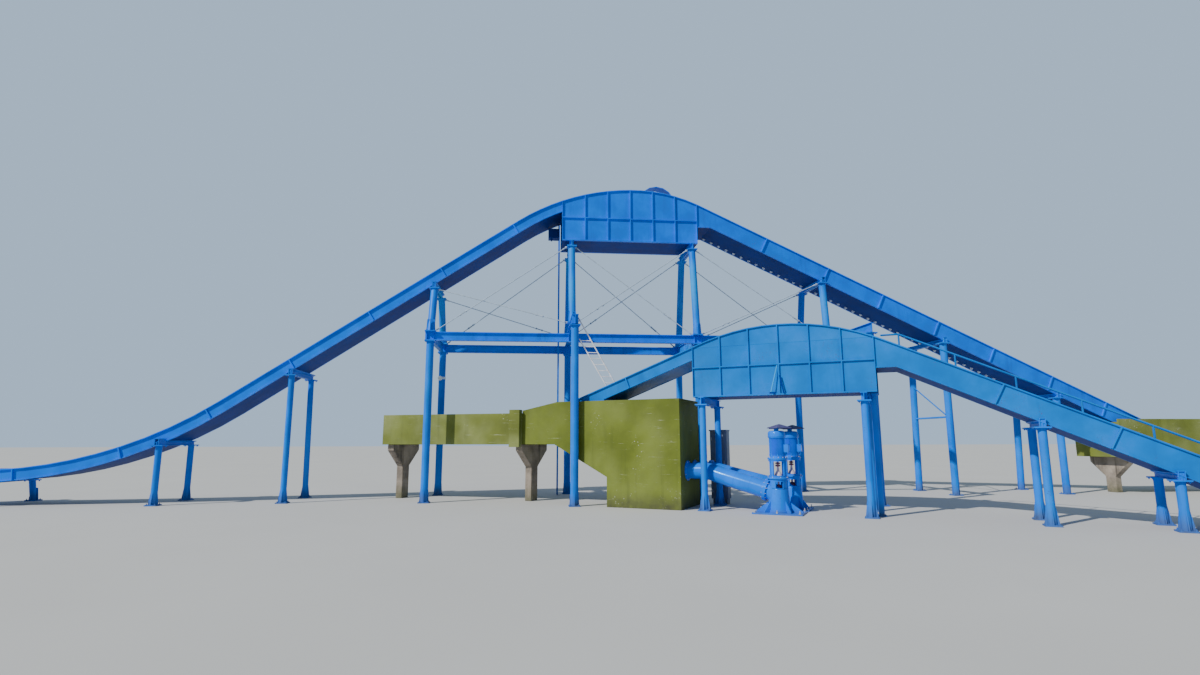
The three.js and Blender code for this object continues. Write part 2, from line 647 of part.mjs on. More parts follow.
function addSmallTrestles() {
  const bottom = () => SMALL.fasciaBottom;
  const underRamp = (x) => undersideAt(smallRamp, x);
  const radius = SMALL_COLUMN_RADIUS;
  const crest = trestle(5.6, bottom, UPRIGHT, radius);
  const [x, y] = SIDE_POST;
  const half = SIDE_POST_RADIUS * 1.6;
  const top = SMALL.fasciaBottom - SEAM;
  const post = joined([
    rod([x, y, PAD_THICK / 2], [x, y, top - PAD_THICK / 2], SIDE_POST_RADIUS, 8),
    block(x - half, x + half, y - half, y + half, 0, PAD_THICK),
    block(5.6, x + half, y - half, y + half, top - PAD_THICK, top - SEAM),
  ]);
  piece(smallHill, 'small_trestle_1', BLUE, trestle(0.3, bottom, UPRIGHT, radius));
  piece(smallHill, 'small_trestle_2', BLUE, crest.add(post));
  piece(smallHill, 'small_trestle_3', BLUE, trestle(10.24, underRamp, NARROW, radius));
  piece(smallHill, 'small_trestle_4', BLUE, trestle(13.15, underRamp, NARROW, radius));
}

function addHandrail() {
  const rim = (x) => rimHeight(SMALL, x);
  const y = WIDTH + FLANGE / 2;
  const h = RAIL / 2;
  const level = rim(HANDRAIL_POST) + HANDRAIL_HEIGHT;
  const end = [SMALL_RAMP_END, rim(SMALL_RAMP_END) + HANDRAIL_HEIGHT];
  const top = [[HANDRAIL_START, level], [HANDRAIL_POST, level], end];
  const parts = [wall(between(top, lowered(top, RAIL)), y - h, y + h)];
  for (const x of steps(HANDRAIL_POST, SMALL_RAMP_END - h, HANDRAIL_BAYS)) {
    const low = [x - h, x + h].map((at) => [at, rim(at) + 2 * SEAM]);
    const high = [x - h, x + h].map((at) => [at, Math.min(rim(at) + HANDRAIL_HEIGHT, level) - RAIL / 2]);
    parts.push(wall(between(high, low), y - h, y + h));
  }
  piece(smallHill, 'small_handrail', BLUE, joined(parts));
}

// Ladders

function addLadders() {
  const x = ACCESS_LADDER_X;
  const ys = [ACCESS_LADDER_BACK - ACCESS_LADDER_WIDTH, ACCESS_LADDER_BACK];
  const top = ACCESS_LADDER_TOP;
  const rail = RAIL / 2;
  const parts = ys.map((y) => block(x - rail, x + rail, y - RUNG / 2, y + RUNG / 2, 0, top));
  for (const z of steps(0, top, ACCESS_RUNGS).slice(1, -1)) {
    parts.push(bar([x, ys[0], z], [x, ys[1], z], RUNG, RUNG));
  }
  const girderSide = TOWER_X[1] - BEAM_WIDTH * 0.65 - SEAM;
  parts.push(block(x, girderSide, ys[0] - RUNG / 2, ys[0] + RUNG / 2, GIRDER_TOP - BEAM_FLANGE, GIRDER_TOP));
  piece(ride, 'access_ladder', BLUE, joined(parts));
  const rails = LEANING_LADDER.map(({ foot: [fx, fy], head }) => {
    return { foot: [fx, fy, floorTop(smallSlide, SMALL, fx + rail) + SEAM], head };
  });
  const at = ({ foot, head }, z) => {
    const part = (z - foot[2]) / (head[2] - foot[2]);
    return foot.map((v, k) => v + part * (head[k] - v));
  };
  const lean = rails.map(({ foot, head }) => shaft(foot, head, rail, 6));
  for (const z of steps(...LEANING_RUNGS, 8)) lean.push(bar(at(rails[0], z), at(rails[1], z), RUNG, RUNG));
  piece(smallHill, 'leaning_ladder', ALUMINIUM, joined(lean));
}

// Head tank with its funnel, the trough bay behind the joint, and the receiving trough

function addTank() {
  const below = [
    [TROUGH_JOINT, TROUGH_BOTTOM], [-5.5, TROUGH_BOTTOM], [TANK_LEFT, 1.07], [TANK_LEFT, 0],
    [TANK_RIGHT, 0],
  ];
  const side = [...below, [TANK_RIGHT, TANK_TOP], [-5.4, TANK_TOP], [TROUGH_JOINT, FUNNEL_TOP]];
  piece(smallHill, 'tank_front_wall', GREEN, joined([wall(side, TANK_FRONT, TANK_FRONT + TANK_WALL)]));
  piece(smallHill, 'tank_back_wall', GREEN, joined([wall(side, TANK_BACK - TANK_WALL, TANK_BACK)]));
  const y0 = TANK_FRONT + TANK_WALL + SEAM;
  const y1 = TANK_BACK - TANK_WALL - SEAM;
  const wallX = TANK_RIGHT - TANK_WALL;
  piece(smallHill, 'tank_end_wall', GREEN, joined([block(wallX, TANK_RIGHT, y0, y1, 0, TANK_TOP)]));
  const end = wallX - SEAM;
  const inner = TANK_LEFT + TANK_WALL;
  const floor = [
    ...below.slice(0, -1), [end, 0], [end, TANK_WALL], [inner, TANK_WALL], [inner, 1.12],
    [-5.47, TROUGH_BOTTOM + TANK_WALL], [TROUGH_JOINT, TROUGH_BOTTOM + TANK_WALL],
  ];
  piece(smallHill, 'tank_floor', GREEN, joined([wall(floor, y0, y1)]));
}

// A U-shaped trough along X, with its right end cut at a slant
function trough(length, width, z0, z1, slant) {
  const end = (y) => y * Math.tan(slant);
  const slab = (y0, y1, low, high) => {
    const plan = outline([[-length, y0], [end(y0), y0], [end(y1), y1], [-length, y1]]);
    return new THREE.ExtrudeGeometry(plan, { depth: high - low, bevelEnabled: false }).translate(0, 0, low);
  };
  return [
    slab(0, width, z0, z0 + TANK_WALL),
    slab(0, TANK_WALL, z0, z1),
    slab(width - TANK_WALL, width, z0, z1),
  ];
}

// The collar on both sides of the bay, which ends at X = 0
function collars(width, z0, z1) {
  const { from, to, out, above, below } = COLLAR;
  const inside = TANK_WALL / 2;
  const section = [
    [-out, z0 - below], [-inside, z0 - below], [-inside, z0 + inside / 2], [inside, z0 + inside / 2],
    [inside, z1 + above], [-out, z1 + above],
  ];
  const far = section.map(([y, z]) => [width - y, z]);
  return [section, far].map((points) => wall(points, from, to).rotateZ(Math.PI / 2));
}

// A concrete pier with two arms, across the trough that it carries
function pier(x, y, top) {
  const arm = PIER_ARM;
  const stem = PIER_STEM / 2;
  const points = [
    [-stem, 0], [stem, 0], [stem, top - 0.9], [arm, top - 0.25], [arm, top],
    [-arm, top], [-arm, top - 0.25], [-stem, top - 0.9],
  ];
  return joined([wall(points, -PIER_THICK / 2, PIER_THICK / 2).rotateZ(Math.PI / 2).translate(x, y, 0)]);
}

function addTroughs() {
  const bay = new THREE.Group();
  bay.position.set((TROUGH_JOINT - 2 * SEAM) * MODEL_MM, TANK_FRONT * MODEL_MM, 0);
  bay.rotation.z = TROUGH_TURN;
  smallHill.add(bay);
  const width = TANK_BACK - TANK_FRONT;
  const sides = trough(TROUGH_BAY, width, TROUGH_BOTTOM, TROUGH_TOP, TROUGH_TURN);
  piece(bay, 'trough_bay', GREEN, joined([sides, collars(width, TROUGH_BOTTOM, TROUGH_TOP)]));
  piece(bay, 'trough_end_pier', CONCRETE, pier(-TROUGH_BAY + 0.3, width / 2, TROUGH_BOTTOM - SEAM));
  const middle = (TANK_FRONT + TANK_BACK) / 2;
  piece(smallHill, 'trough_joint_pier', CONCRETE, pier(JOINT_PIER, middle, TROUGH_BOTTOM - SEAM));
  const { x0, x1, y0, y1, z0, z1 } = RECEIVER;
  const shell = trough(x1 - x0, y1 - y0, z0, z1, 0).map((part) => part.translate(x1, y0, 0));
  shell.push(block(x0, x0 + TANK_WALL, y0, y1, z0, rampUnder(x0 + TANK_WALL) - SEAM));
  piece(ride, 'receiving_trough', GREEN, joined(shell));
  piece(ride, 'receiver_pier_1', CONCRETE, pier(x0 + 0.6, (y0 + y1) / 2, z0 - SEAM));
  piece(ride, 'receiver_pier_2', CONCRETE, pier(x1 - 0.6, (y0 + y1) / 2, z0 - SEAM));
}

// Pumps: a round casing on a square base, an open lantern and a motor under a rain hat

function turned(profile, x, y) {
  const points = profile.map(([r, z]) => new THREE.Vector2(r, z));
  return new THREE.LatheGeometry(points, 12).rotateX(Math.PI / 2).translate(x, y, 0);
}

// A shape and the same one square to it, both turned about an axis
function crossed(x, y, turn, shape) {
  return [0, 1].map((k) => shape().rotateZ((k * Math.PI) / 2 + turn).translate(x, y, 0));
}

// A bend of round pipe between two lines that meet at a corner
function bend(from, corner, to, radius) {
  const ends = [from, corner, to].map((p) => new THREE.Vector3(...p));
  const path = new THREE.QuadraticBezierCurve3(...ends);
  const turns = steps(0, 2 * Math.PI, 14).slice(1);
  const section = turns.map((a) => new THREE.Vector2(radius * Math.cos(a), radius * Math.sin(a)));
  return new THREE.ExtrudeGeometry(new THREE.Shape(section), {
    extrudePath: path, steps: 6, bevelEnabled: false,
  });
}

function pump(x, y, a, point) {
  const b = PUMP_BASE;
  const shell = turned([
    [0, 0.02], [0.4, 0.02], [0.4, 0.1], [0.37, 0.12], [0.3, 0.78], [0.3, 1.11],
    [0.35, 1.12], [0.35, 1.17], [0.3, 1.18], [0.3, 1.74], [0.33, 1.75], [0.33, 1.81], [0.25, 1.82],
    [0.25, 2.5], [0.28, 2.51], [0.28, 2.6], [0.2, 2.68], [0.08, 2.7], [0.08, 2.81], [0, 2.81],
  ], x, y);
  const inside = [[1.21, 1.71], [0.79, 1.06]].map(([low, high]) => {
    return turned([[0, low], [0.25, low], [0.25, high], [0, high]], x, y);
  });
  const windows = crossed(x, y, WINDOW_TURN, () => block(-0.35, 0.35, -0.17, 0.17, 1.23, 1.69));
  windows.push(...crossed(x, y, WINDOW_TURN, () => block(-0.35, 0.35, -0.12, 0.12, 0.81, 1.05)));
  const reach = b - 0.1;
  const fin = [[-reach, 0.04], [reach, 0.04], [0.25, 0.42], [-0.25, 0.42]];
  const rest = [
    block(x - a, x + a, y - b, y + b, 0, 0.05),
    rod([x, y, 0.7], [x, y, 1.8], 0.05, 8),
    rod([x + HAT_SHIFT, y, 2.79], [x + HAT_SHIFT, y, 2.82], HAT_RADIUS, 4),
    rod([x + HAT_SHIFT, y, 2.81], [x + HAT_SHIFT, y, 2.93], HAT_RADIUS - 0.01, 4, 0.02),
    bend(point(ELBOW), point(0), [x, y, PIPE_PUMP_Z - ELBOW], PIPE_PUMP_END),
    rod(point(ELBOW - 0.01), point(ELBOW + FLANGE_THICK), PIPE_PUMP_END + PIPE_FLANGE, 14),
    ...crossed(x, y, Math.PI / 4, () => wall(fin, -GUSSET_THICK / 2, GUSSET_THICK / 2)),
  ];
  return cut([shell], [inside, windows]).add(joined(rest));
}

function addPumps() {
  PUMPS.forEach(({ name, x, y, tankY, reach }) => {
    const axis = [x, y, PIPE_PUMP_Z];
    const far = [STUB_END, tankY, PIPE_TANK_Z];
    const length = distance(axis, far);
    const point = (d) => axis.map((v, k) => v + (d / length) * (far[k] - v));
    const stub = (at) => [at, tankY, PIPE_TANK_Z];
    piece(smallHill, `${name}_pump`, PUMP_BLUE, pump(x, y, reach, point));
    const face = ELBOW + FLANGE_THICK;
    const pipe = [
      rod(point(face + SEAM), point(face + FLANGE_THICK), PIPE_PUMP_END + PIPE_FLANGE, 14),
      rod(point(face + FLANGE_THICK / 2), far, PIPE_PUMP_END, 14, PIPE_TANK_END),
      rod(stub(STUB_END + 0.1), stub(STUB_END - 0.1), PIPE_TANK_END + PIPE_FLANGE, 14),
      rod(stub(STUB_END), stub(TANK_RIGHT + SEAM), PIPE_TANK_END, 14),
    ];
    piece(smallHill, `${name}_delivery_pipe`, PUMP_BLUE, joined(pipe));
  });
}

// Control cabinet on its plinth, and the drive box on two hangers
function addBoxes() {
  const { x0, x1, y0, y1, top, plinth } = CABINET;
  const door = 0.05;
  piece(smallHill, 'control_cabinet', GREY, joined([
    block(x0 + door, x1 - door, y0 + door, y1, 0, plinth + 0.01),
    block(x0, x1, y0, y1, plinth, top),
    block(x0 - PLATE / 2, x1 + PLATE / 2, y0 - RIB_OUT, y1 + PLATE / 2, top - 0.01, top + PLATE),
    block(x0 + door, x1 - door, y0 - PLATE / 2, y0 + 0.01, plinth + 2 * door, top - 2 * door),
  ]));
  const box = DRIVE_BOX;
  const hangers = [box.x0 + RIB / 2, box.x1 - RIB / 2].map((x) => {
    const under = Math.min(slideUnder(x - RIB / 2), slideUnder(x + RIB / 2)) - SEAM;
    return block(x - RIB / 2, x + RIB / 2, box.y1 - RIB, box.y1 - 0.01, box.z1 - 0.01, under);
  });
  const body = block(box.x0, box.x1, box.y0, box.y1, box.z0, box.z1);
  piece(ride, 'drive_box', DARK_BLUE, joined([body, hangers]));
}

// Wheel guard: a hoop that stands over the rim, on the inside of the back fascia
function addWheelGuard() {
  const [x, z] = GUARD_CENTRE;
  const hoop = (radius) => {
    const arc = steps(90 * DEG, -90 * DEG, 8).map((turn) => {
      return [x - radius * Math.sin(turn), z + radius * Math.cos(turn)];
    });
    return [[x - radius, GUARD_FOOT], ...arc, [x + radius, GUARD_FOOT]];
  };
  const back = WIDTH - PLATE - SEAM;
  const guard = wall(between(hoop(GUARD_RADIUS), hoop(GUARD_RADIUS - PLATE)), back - GUARD_WIDTH, back);
  piece(ride, 'wheel_guard', BLUE, joined([guard]));
}

addHills();
addTallTrestles();
addMiddleFrame();
addSmallTrestles();
addHandrail();
addLadders();
addTank();
addTroughs();
addPumps();
addBoxes();
addWheelGuard();

export default ride;
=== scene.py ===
"""Log flume at half size: finishes, round columns, bolts, tie rods, pumps and small fittings.

All sizes are model metres, half of the full-size ride's. X runs along the tall hill,
Y away from its front and Z up. The small hill has a direction of its own.
"""

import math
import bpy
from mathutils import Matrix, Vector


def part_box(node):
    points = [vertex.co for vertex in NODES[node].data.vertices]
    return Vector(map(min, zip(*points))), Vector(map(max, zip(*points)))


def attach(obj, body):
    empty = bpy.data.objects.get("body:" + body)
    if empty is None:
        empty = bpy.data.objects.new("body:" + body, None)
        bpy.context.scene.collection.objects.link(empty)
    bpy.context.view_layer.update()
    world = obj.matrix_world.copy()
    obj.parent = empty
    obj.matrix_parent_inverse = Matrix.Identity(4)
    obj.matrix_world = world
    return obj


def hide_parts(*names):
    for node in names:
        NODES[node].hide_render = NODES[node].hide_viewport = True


bl_info = {
    "name": "Log Flume Fittings",
    "version": (1, 0, 0),
    "blender": (4, 5, 0),
    "location": "View3D > Sidebar > Flume",
    "description": "Dresses the log flume model with paint, steelwork, bolts, pumps and light",
    "category": "Object",
}

import bmesh
import bpy
from bpy.props import FloatProperty, FloatVectorProperty, IntProperty, PointerProperty
from mathutils import Matrix, Vector
from mathutils.bvhtree import BVHTree

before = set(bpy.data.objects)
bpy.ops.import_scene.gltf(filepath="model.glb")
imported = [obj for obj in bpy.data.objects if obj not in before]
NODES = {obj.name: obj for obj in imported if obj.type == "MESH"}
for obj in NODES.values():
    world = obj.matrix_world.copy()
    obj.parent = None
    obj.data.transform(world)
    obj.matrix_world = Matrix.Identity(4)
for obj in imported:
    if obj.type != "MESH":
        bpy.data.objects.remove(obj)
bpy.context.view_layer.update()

SEAM = 0.0003                      # clearance between touching pieces
PLATE = 0.02                       # side and floor plates of the channels
CHANNEL_WIDTH = 0.875
TALL_FRONT = 1.275                 # Y of the tall hill's near side
SMALL_TURN = math.radians(-30.63)  # the small hill is turned this much
SMALL_PLACE = Matrix.Translation((2.05, -0.965, 0)) @ Matrix.Rotation(SMALL_TURN, 4, "Z")

# Columns
PAD_HALF = 0.105                   # half a base or head plate
PAD_THICK = 0.02
GUSSET_HEIGHT = 0.25
GUSSET_THICK = 0.015
CAP_HALF = 0.05                    # half the width of a cap beam
CAP_PAST = 0.1                     # cap beam past the columns' centres
STUB_HALF = 0.04                   # half the width of the stub on a front head
STUB_HEIGHT = 0.12
RIB_OUT = 0.0325                   # how far the channels' ribs stand out
FLANGE = 0.011                     # flanges and webs of rolled sections
WEB = 0.012
RIB_HALF = 0.01125                 # half the width of a stiffening rib
LAP_LINE = 2.825                   # lower edge of the small fascia's cover sheets
LUG_HALF = 0.02                    # of the tie rods' end lugs
HANDRAIL_BEND = 3.37               # where the rail turns down the ramp, at its first post
HANDRAIL_POSTS = 6
STIFFENER = 0.004                  # half the thickness of the beams' web plates

# Pumps, in the small hill's direction
PUMPS = [
    {"name": "front", "place": (1.385, 0.145), "tank": 0.31, "reach": 0.4},
    {"name": "back", "place": (1.5, 0.85), "tank": 0.75, "reach": 0.3},
]
PUMP_ACROSS = 0.31                 # half the base plate, across
PIPE_PUMP_Z = 0.32
PIPE_TANK_Z = 0.66
PIPE_RADIUS = 0.148
PIPE_BORE = 0.12                   # inner radius of the flanges
STUB_RADIUS = 0.14
PIPE_FLANGE = 0.183
STUB_FLANGE = 0.178
ELBOW = 0.185                      # from the pump's axis to its elbow's flange
ELBOW_RADIUS = 0.15
FLANGE_THICK = 0.0275
BASE_THICK = 0.025
TANK_RIGHT = -0.235
LANTERN = 0.15                     # outer radius of the pump's open body
LANTERN_WALL = 0.022
FRAME_TURN = 0.04                  # width of a window frame, as an angle round the pump
MOTOR_FINS = 48
HAT_SHIFT = 0.05
WINDOW_TURN = math.radians(15)     # of the first pump window from the small hill's X

# Light and floor
SUN_TOWARDS = (-0.87, -0.5, 0.78)
SUN_COLOUR = (1.0, 0.97, 0.91)
SKY_COLOUR = (0.62, 0.8, 1.0, 1.0)
BACKDROP_COLOUR = (0.52, 0.7, 0.92, 1.0)
FLOOR_DROP = 0.001                 # keeps the floor clear of the feet

UPPER_TOWERS = ["upper_tower_1", "upper_tower_2", "upper_tower_3", "upper_tower_4"]
SLIDE_TRESTLES = ["slide_trestle_1", "slide_trestle_2", "slide_trestle_3"]
RAMP_TRESTLES = ["ramp_trestle_1", "ramp_trestle_2"]
SMALL_TRESTLES = ["small_trestle_1", "small_trestle_2", "small_trestle_3", "small_trestle_4"]
PORTALS = ["lower_portal_1", "lower_portal_3", "lower_portal_4", "ladder_tower_back_column"]


# Settings

def colour(name, description, default):
    return FloatVectorProperty(
        name=name, description=description, subtype="COLOR", size=3, min=0, max=1, default=default)


def length(name, description, default):
    return FloatProperty(
        name=name, description=description, subtype="DISTANCE", unit="LENGTH", min=0, default=default)


def angle(name, description, default):
    return FloatProperty(
        name=name, description=description, subtype="ANGLE", unit="ROTATION", default=default)


def strength(name, description, default):
    return FloatProperty(name=name, description=description, default=default, min=0)


class FlumePaint(bpy.types.PropertyGroup):
    tall_blue: colour("Tall hill blue", "Paint of the tall hill's sheets", (0.0, 0.165, 0.86))
    # Painted shade: the small hill's blue is darker than the tall hill's, to offset the stronger sun on its
    # faces.
    small_blue: colour("Small hill blue", "Paint of the small hill's sheets, darkened as painted shade", (0.0, 0.16, 0.58))
    column_blue: colour("Column blue", "Paint of the columns and beams", (0.0, 0.165, 0.8))
    chalk_blue: colour("Chalked blue", "What the paint fades to in the sun", (0.015, 0.36, 0.8))
    # Painted shade: a dark copy of the blue for floors and undersides, painted as their shade.
    painted_shade_blue: colour("Painted shade blue", "Dark blue painted as shade on floors and undersides", (0.0, 0.03, 0.24))
    pump_blue: colour("Pump blue", "Gloss paint of the pumps and their pipes", (0.0, 0.17, 0.85))
    tank_green: colour("Tank green", "Paint of the tank", (0.12, 0.155, 0.012))
    trough_green: colour("Trough green", "Paint of the long troughs", (0.15, 0.18, 0.03))
    concrete: colour("Concrete", "Colour of the piers", (0.33, 0.28, 0.23))
    hat_grey: colour("Rain hat", "Sheet of the pumps' rain hats", (0.085, 0.075, 0.19))
    cabinet_grey: colour("Cabinet", "Paint of the control cabinet", (0.22, 0.25, 0.32))
    coupling_red: colour("Couplings", "Primer on the pumps' shaft couplings", (0.3, 0.06, 0.05))


class FlumeSteelwork(bpy.types.PropertyGroup):
    column_radius: length("Column radius", "Radius of the tall hill's columns", 0.075)
    small_column_radius: length(
        "Small column radius", "Radius of the small hill's and the slide's columns", 0.0575)
    bolt_radius: length("Bolt radius", "Half the width of a nut across its corners", 0.012)
    rod_radius: length("Tie rod radius", "Radius of the tie rods between the towers", 0.009)
    rail_radius: length("Handrail radius", "Radius of the handrail's tube", 0.016)
    roller_spacing: length("Roller spacing", "Between the chain rollers under the tall ramp", 0.178)
    column_sides: IntProperty(
        name="Column sides", description="Sides of a round column's mesh", default=40, min=12, max=96)


class FlumeStage(bpy.types.PropertyGroup):
    camera_place: FloatVectorProperty(
        name="Camera place", description="Where the camera stands",
        subtype="XYZ", unit="LENGTH", size=3, default=(-0.73, -12.075, 1.192))
    camera_yaw: angle("Camera yaw", "Turn of the view from +Y towards +X", math.radians(5.74))
    camera_pitch: angle("Camera pitch", "Rise of the view above the horizon", 0.1606)
    camera_roll: angle("Camera roll", "Turn of the camera about its own view", math.radians(-0.14))
    lens: FloatProperty(
        name="Lens", description="Focal length on a 36 mm wide sensor", default=19.12, min=5, max=200)
    floor_half: length("Floor size", "Half the side of the square floor", 150.0)
    key_strength: strength("Key light", "Strength of the key light", 4.6)
    sky_strength: strength("Sky light", "Strength of the even light from all round", 0.42)
    backdrop_strength: strength("Backdrop", "Brightness of the backdrop behind the model", 0.85)


# Meshes

def circle(radius, sides, z=0.0, phase=0.0):
    turns = [phase + 2 * math.pi * i / sides for i in range(sides)]
    return [Vector((radius * math.cos(a), radius * math.sin(a), z)) for a in turns]


def facing(point, axis, spin=0.0):
    """The matrix that stands a form drawn along +Z on a point, along an axis."""
    turn = Vector(axis).to_track_quat("Z", "Y").to_matrix().to_4x4()
    return Matrix.Translation(point) @ turn @ Matrix.Rotation(spin, 4, "Z")


def raised(place, height):
    """A place moved along its own Z."""
    return place @ Matrix.Translation((0, 0, height))


def square_corners(half):
    return [(x, y) for x in (-half, half) for y in (-half, half)]


def either_side(x, inner, outer):
    """The ranges of X between two distances from x, on its left and on its right."""
    return [(x - outer, x - inner), (x + inner, x + outer)]


def bezier(start, corner, end, count):
    for i in range(count + 1):
        t = i / count
        yield start * (1 - t) ** 2 + corner * 2 * t * (1 - t) + end * t * t


class Shape:
    """A mesh in the making. Each call adds one closed form to it, in its own place."""

    def __init__(self, place=None):
        self.bm = bmesh.new()
        self.place = place or Matrix.Identity(4)
        self.finish = 0

    def loft(self, rings, place=None, closed=False):
        place = self.place @ (place or Matrix.Identity(4))
        rows = [[self.bm.verts.new(place @ Vector(p)) for p in ring] for ring in rings]
        pairs = list(zip(rows, rows[1:]))
        if closed:
            pairs.append((rows[-1], rows[0]))
        count = len(rows[0])
        faces = []
        for low, high in pairs:
            for i in range(count):
                k = (i + 1) % count
                faces.append(self.bm.faces.new((low[i], low[k], high[k], high[i])))
        if not closed:
            faces.append(self.bm.faces.new(rows[0][::-1]))
            faces.append(self.bm.faces.new(rows[-1]))
        for face in faces:
            face.material_index = self.finish
        bmesh.ops.recalc_face_normals(self.bm, faces=faces)

    def box(self, low, high, place=None):
        (x0, y0, z0), (x1, y1, z1) = low, high
        corners = [(x0, y0), (x1, y0), (x1, y1), (x0, y1)]
        self.loft([[(x, y, z) for x, y in corners] for z in (z0, z1)], place)

    def slab(self, outline, push, place=None):
        push = Vector(push)
        self.loft([outline, [Vector(p) + push for p in outline]], place)

    def turned(self, profile, place=None, sides=48):
        self.loft([circle(r, sides, z) for r, z in profile], place)

    def bar(self, radius, low, high, place=None, sides=48):
        """A round bar or disc between two heights."""
        self.turned([(radius, low), (radius, high)], place, sides)

    def ring(self, profile, place=None, sides=48):
        """A hollow turned form: its profile closes on itself."""
        self.loft([circle(r, sides, z) for r, z in profile], place, closed=True)

    def band(self, radii, heights, place):
        """A ring of square section."""
        (r0, r1), (z0, z1) = radii, heights
        self.ring([(r0, z0), (r1, z0), (r1, z1), (r0, z1)], place)

    def tube(self, path, radius, sides=16, end_radius=None):
        points = [Vector(p) for p in path]
        end_radius = end_radius or radius
        turn = last = None
        rings = []
        for i, point in enumerate(points):
            ahead = (points[min(i + 1, len(points) - 1)] - points[max(i - 1, 0)]).normalized()
            turn = last.rotation_difference(ahead) @ turn if turn else ahead.to_track_quat("Z", "Y")
            last = ahead
            size = radius + (end_radius - radius) * i / (len(points) - 1)
            rings.append([point + turn @ p for p in circle(size, sides)])
        self.loft(rings)

    def panel(self, radii, heights, angles, place=None, count=8):
        """A piece of a round wall between two radii, two heights and two angles."""
        (r0, r1), (z0, z1), (a0, a1) = radii, heights, angles
        rings = []
        for i in range(count + 1):
            a = a0 + (a1 - a0) * i / count
            section = ((r0, z0), (r1, z0), (r1, z1), (r0, z1))
            rings.append([(r * math.cos(a), r * math.sin(a), z) for r, z in section])
        self.loft(rings, place)

    def bolt(self, point, axis, radius, stud=0.0):
        """A washer, a nut with an eased top and the end of the bolt."""
        place = facing(point, axis, 0.4)
        seat = radius * 0.25
        self.bar(radius * 1.35, 0, seat, place, 14)
        self.turned([(radius, seat), (radius, radius * 0.95), (radius * 0.82, radius * 1.1)], place, 6)
        if stud:
            self.bar(radius * 0.5, radius, radius + stud, place, 8)

    def bolt_circle(self, count, radius, z, bolts, place, down=False, stud=0.0):
        for p in circle(radius, count, z, math.pi / count):
            axis = place.to_3x3() @ Vector((0, 0, -1 if down else 1))
            self.bolt(place @ p, axis, bolts, stud)

    def bead(self, radius, thick, place=None, sides=40):
        """A weld bead round a tube."""
        section = [(radius - thick * 0.4, -thick), (radius + thick * 0.8, -thick * 0.4),
                   (radius + thick * 0.8, thick * 0.4), (radius - thick * 0.4, thick)]
        self.ring(section, place, sides)

    def i_beam(self, start, end, depth, width):
        """An I-section whose top face runs level from start to end."""
        start, end = Vector(start), Vector(end)
        along = (end - start).normalized()
        side = Vector((along.y, -along.x, 0))
        w, t = width / 2, WEB / 2
        section = [
            (-w, -depth), (w, -depth), (w, FLANGE - depth), (t, FLANGE - depth), (t, -FLANGE), (w, -FLANGE),
            (w, 0), (-w, 0), (-w, -FLANGE), (-t, -FLANGE), (-t, FLANGE - depth), (-w, FLANGE - depth),
        ]
        ring = [side * a + Vector((0, 0, b)) for a, b in section]
        self.loft([[point + p for p in ring] for point in (start, end)])


def add_piece(shape, name, materials, replaced=(), bevel=0.0):
    mesh = bpy.data.meshes.new(name)
    shape.bm.to_mesh(mesh)
    shape.bm.free()
    return finish_piece(mesh, name, materials, replaced, bevel)


def finish_piece(mesh, name, materials, replaced, bevel):
    mesh.polygons.foreach_set("use_smooth", [True] * len(mesh.polygons))
    mesh.set_sharp_from_angle(angle=math.radians(32))
    for material in materials:
        mesh.materials.append(MATERIALS[material])
    piece = bpy.data.objects.new(name, mesh)
    bpy.context.scene.collection.objects.link(piece)
    if bevel:
        rounding = piece.modifiers.new("edges", "BEVEL")
        rounding.width = bevel
        rounding.segments = 2
        rounding.limit_method = "ANGLE"
        rounding.angle_limit = math.radians(40)
        shading = piece.modifiers.new("flat_faces", "WEIGHTED_NORMAL")
        shading.keep_sharp = True
    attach(piece, "root")
    if replaced:
        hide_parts(*replaced)
    return piece


def dress(node, material, bevel=0.003):
    """A node's sheets again, welded into whole faces, with eased edges and smooth curves."""
    bm = bmesh.new()
    bm.from_mesh(NODES[node].data)
    bmesh.ops.remove_doubles(bm, verts=bm.verts, dist=1e-5)
    bmesh.ops.dissolve_limit(bm, angle_limit=math.radians(0.4), verts=bm.verts, edges=bm.edges)
    bmesh.ops.triangulate(bm, faces=[face for face in bm.faces if len(face.verts) > 8])
    mesh = bpy.data.meshes.new(node + "_sheet")
    bm.to_mesh(mesh)
    bm.free()
    return finish_piece(mesh, node + "_sheet", [material], [node], bevel)


# Places read from the frame

def turned_back(point, turn):
    """A point as the small hill's own direction gives it, or the same point where turn is 0."""
    return Matrix.Rotation(-turn, 3, "Z") @ Vector(point)


def plates(node, turn):
    """The square plates of a node's columns, as (x, y, z) of the middle of their faces."""
    levels = {}
    for vertex in NODES[node].data.vertices:
        p = turned_back(vertex.co, turn)
        levels.setdefault(round(p.z, 3), set()).add((round(p.x, 3), round(p.y, 3)))
    side = 2 * PAD_HALF
    found = []
    for z, corners in levels.items():
        for x, y in corners:
            others = [(x + side, y), (x, y + side), (x + side, y + side)]
            if all(any(abs(a - u) + abs(b - v) < 0.003 for u, v in corners) for a, b in others):
                found.append((x + PAD_HALF, y + PAD_HALF, z))
    return found


def columns_of(node, turn=0.0):
    """Pairs of a column's foot and head: the undersides of its base plate and of its head plate."""
    found = sorted(plates(node, turn), key=lambda p: p[2])
    feet = [p for p in found if abs(p[2] - found[0][2]) < 0.0016]
    heads = [p for p in found if p[2] > found[0][2] + 2 * PAD_THICK]
    pairs = []
    for foot in sorted(feet, key=lambda p: p[1]):
        over = [h for h in heads if abs(h[0] - foot[0]) < 0.01 and abs(h[1] - foot[1]) < 0.6]
        head = min(over, key=lambda h: (round(abs(h[1] - foot[1]), 2), h[2]))
        pairs.append((Vector(foot), Vector(head)))
    return pairs


def surface(node):
    mesh = NODES[node].data
    return BVHTree.FromPolygons([v.co for v in mesh.vertices], [p.vertices for p in mesh.polygons])


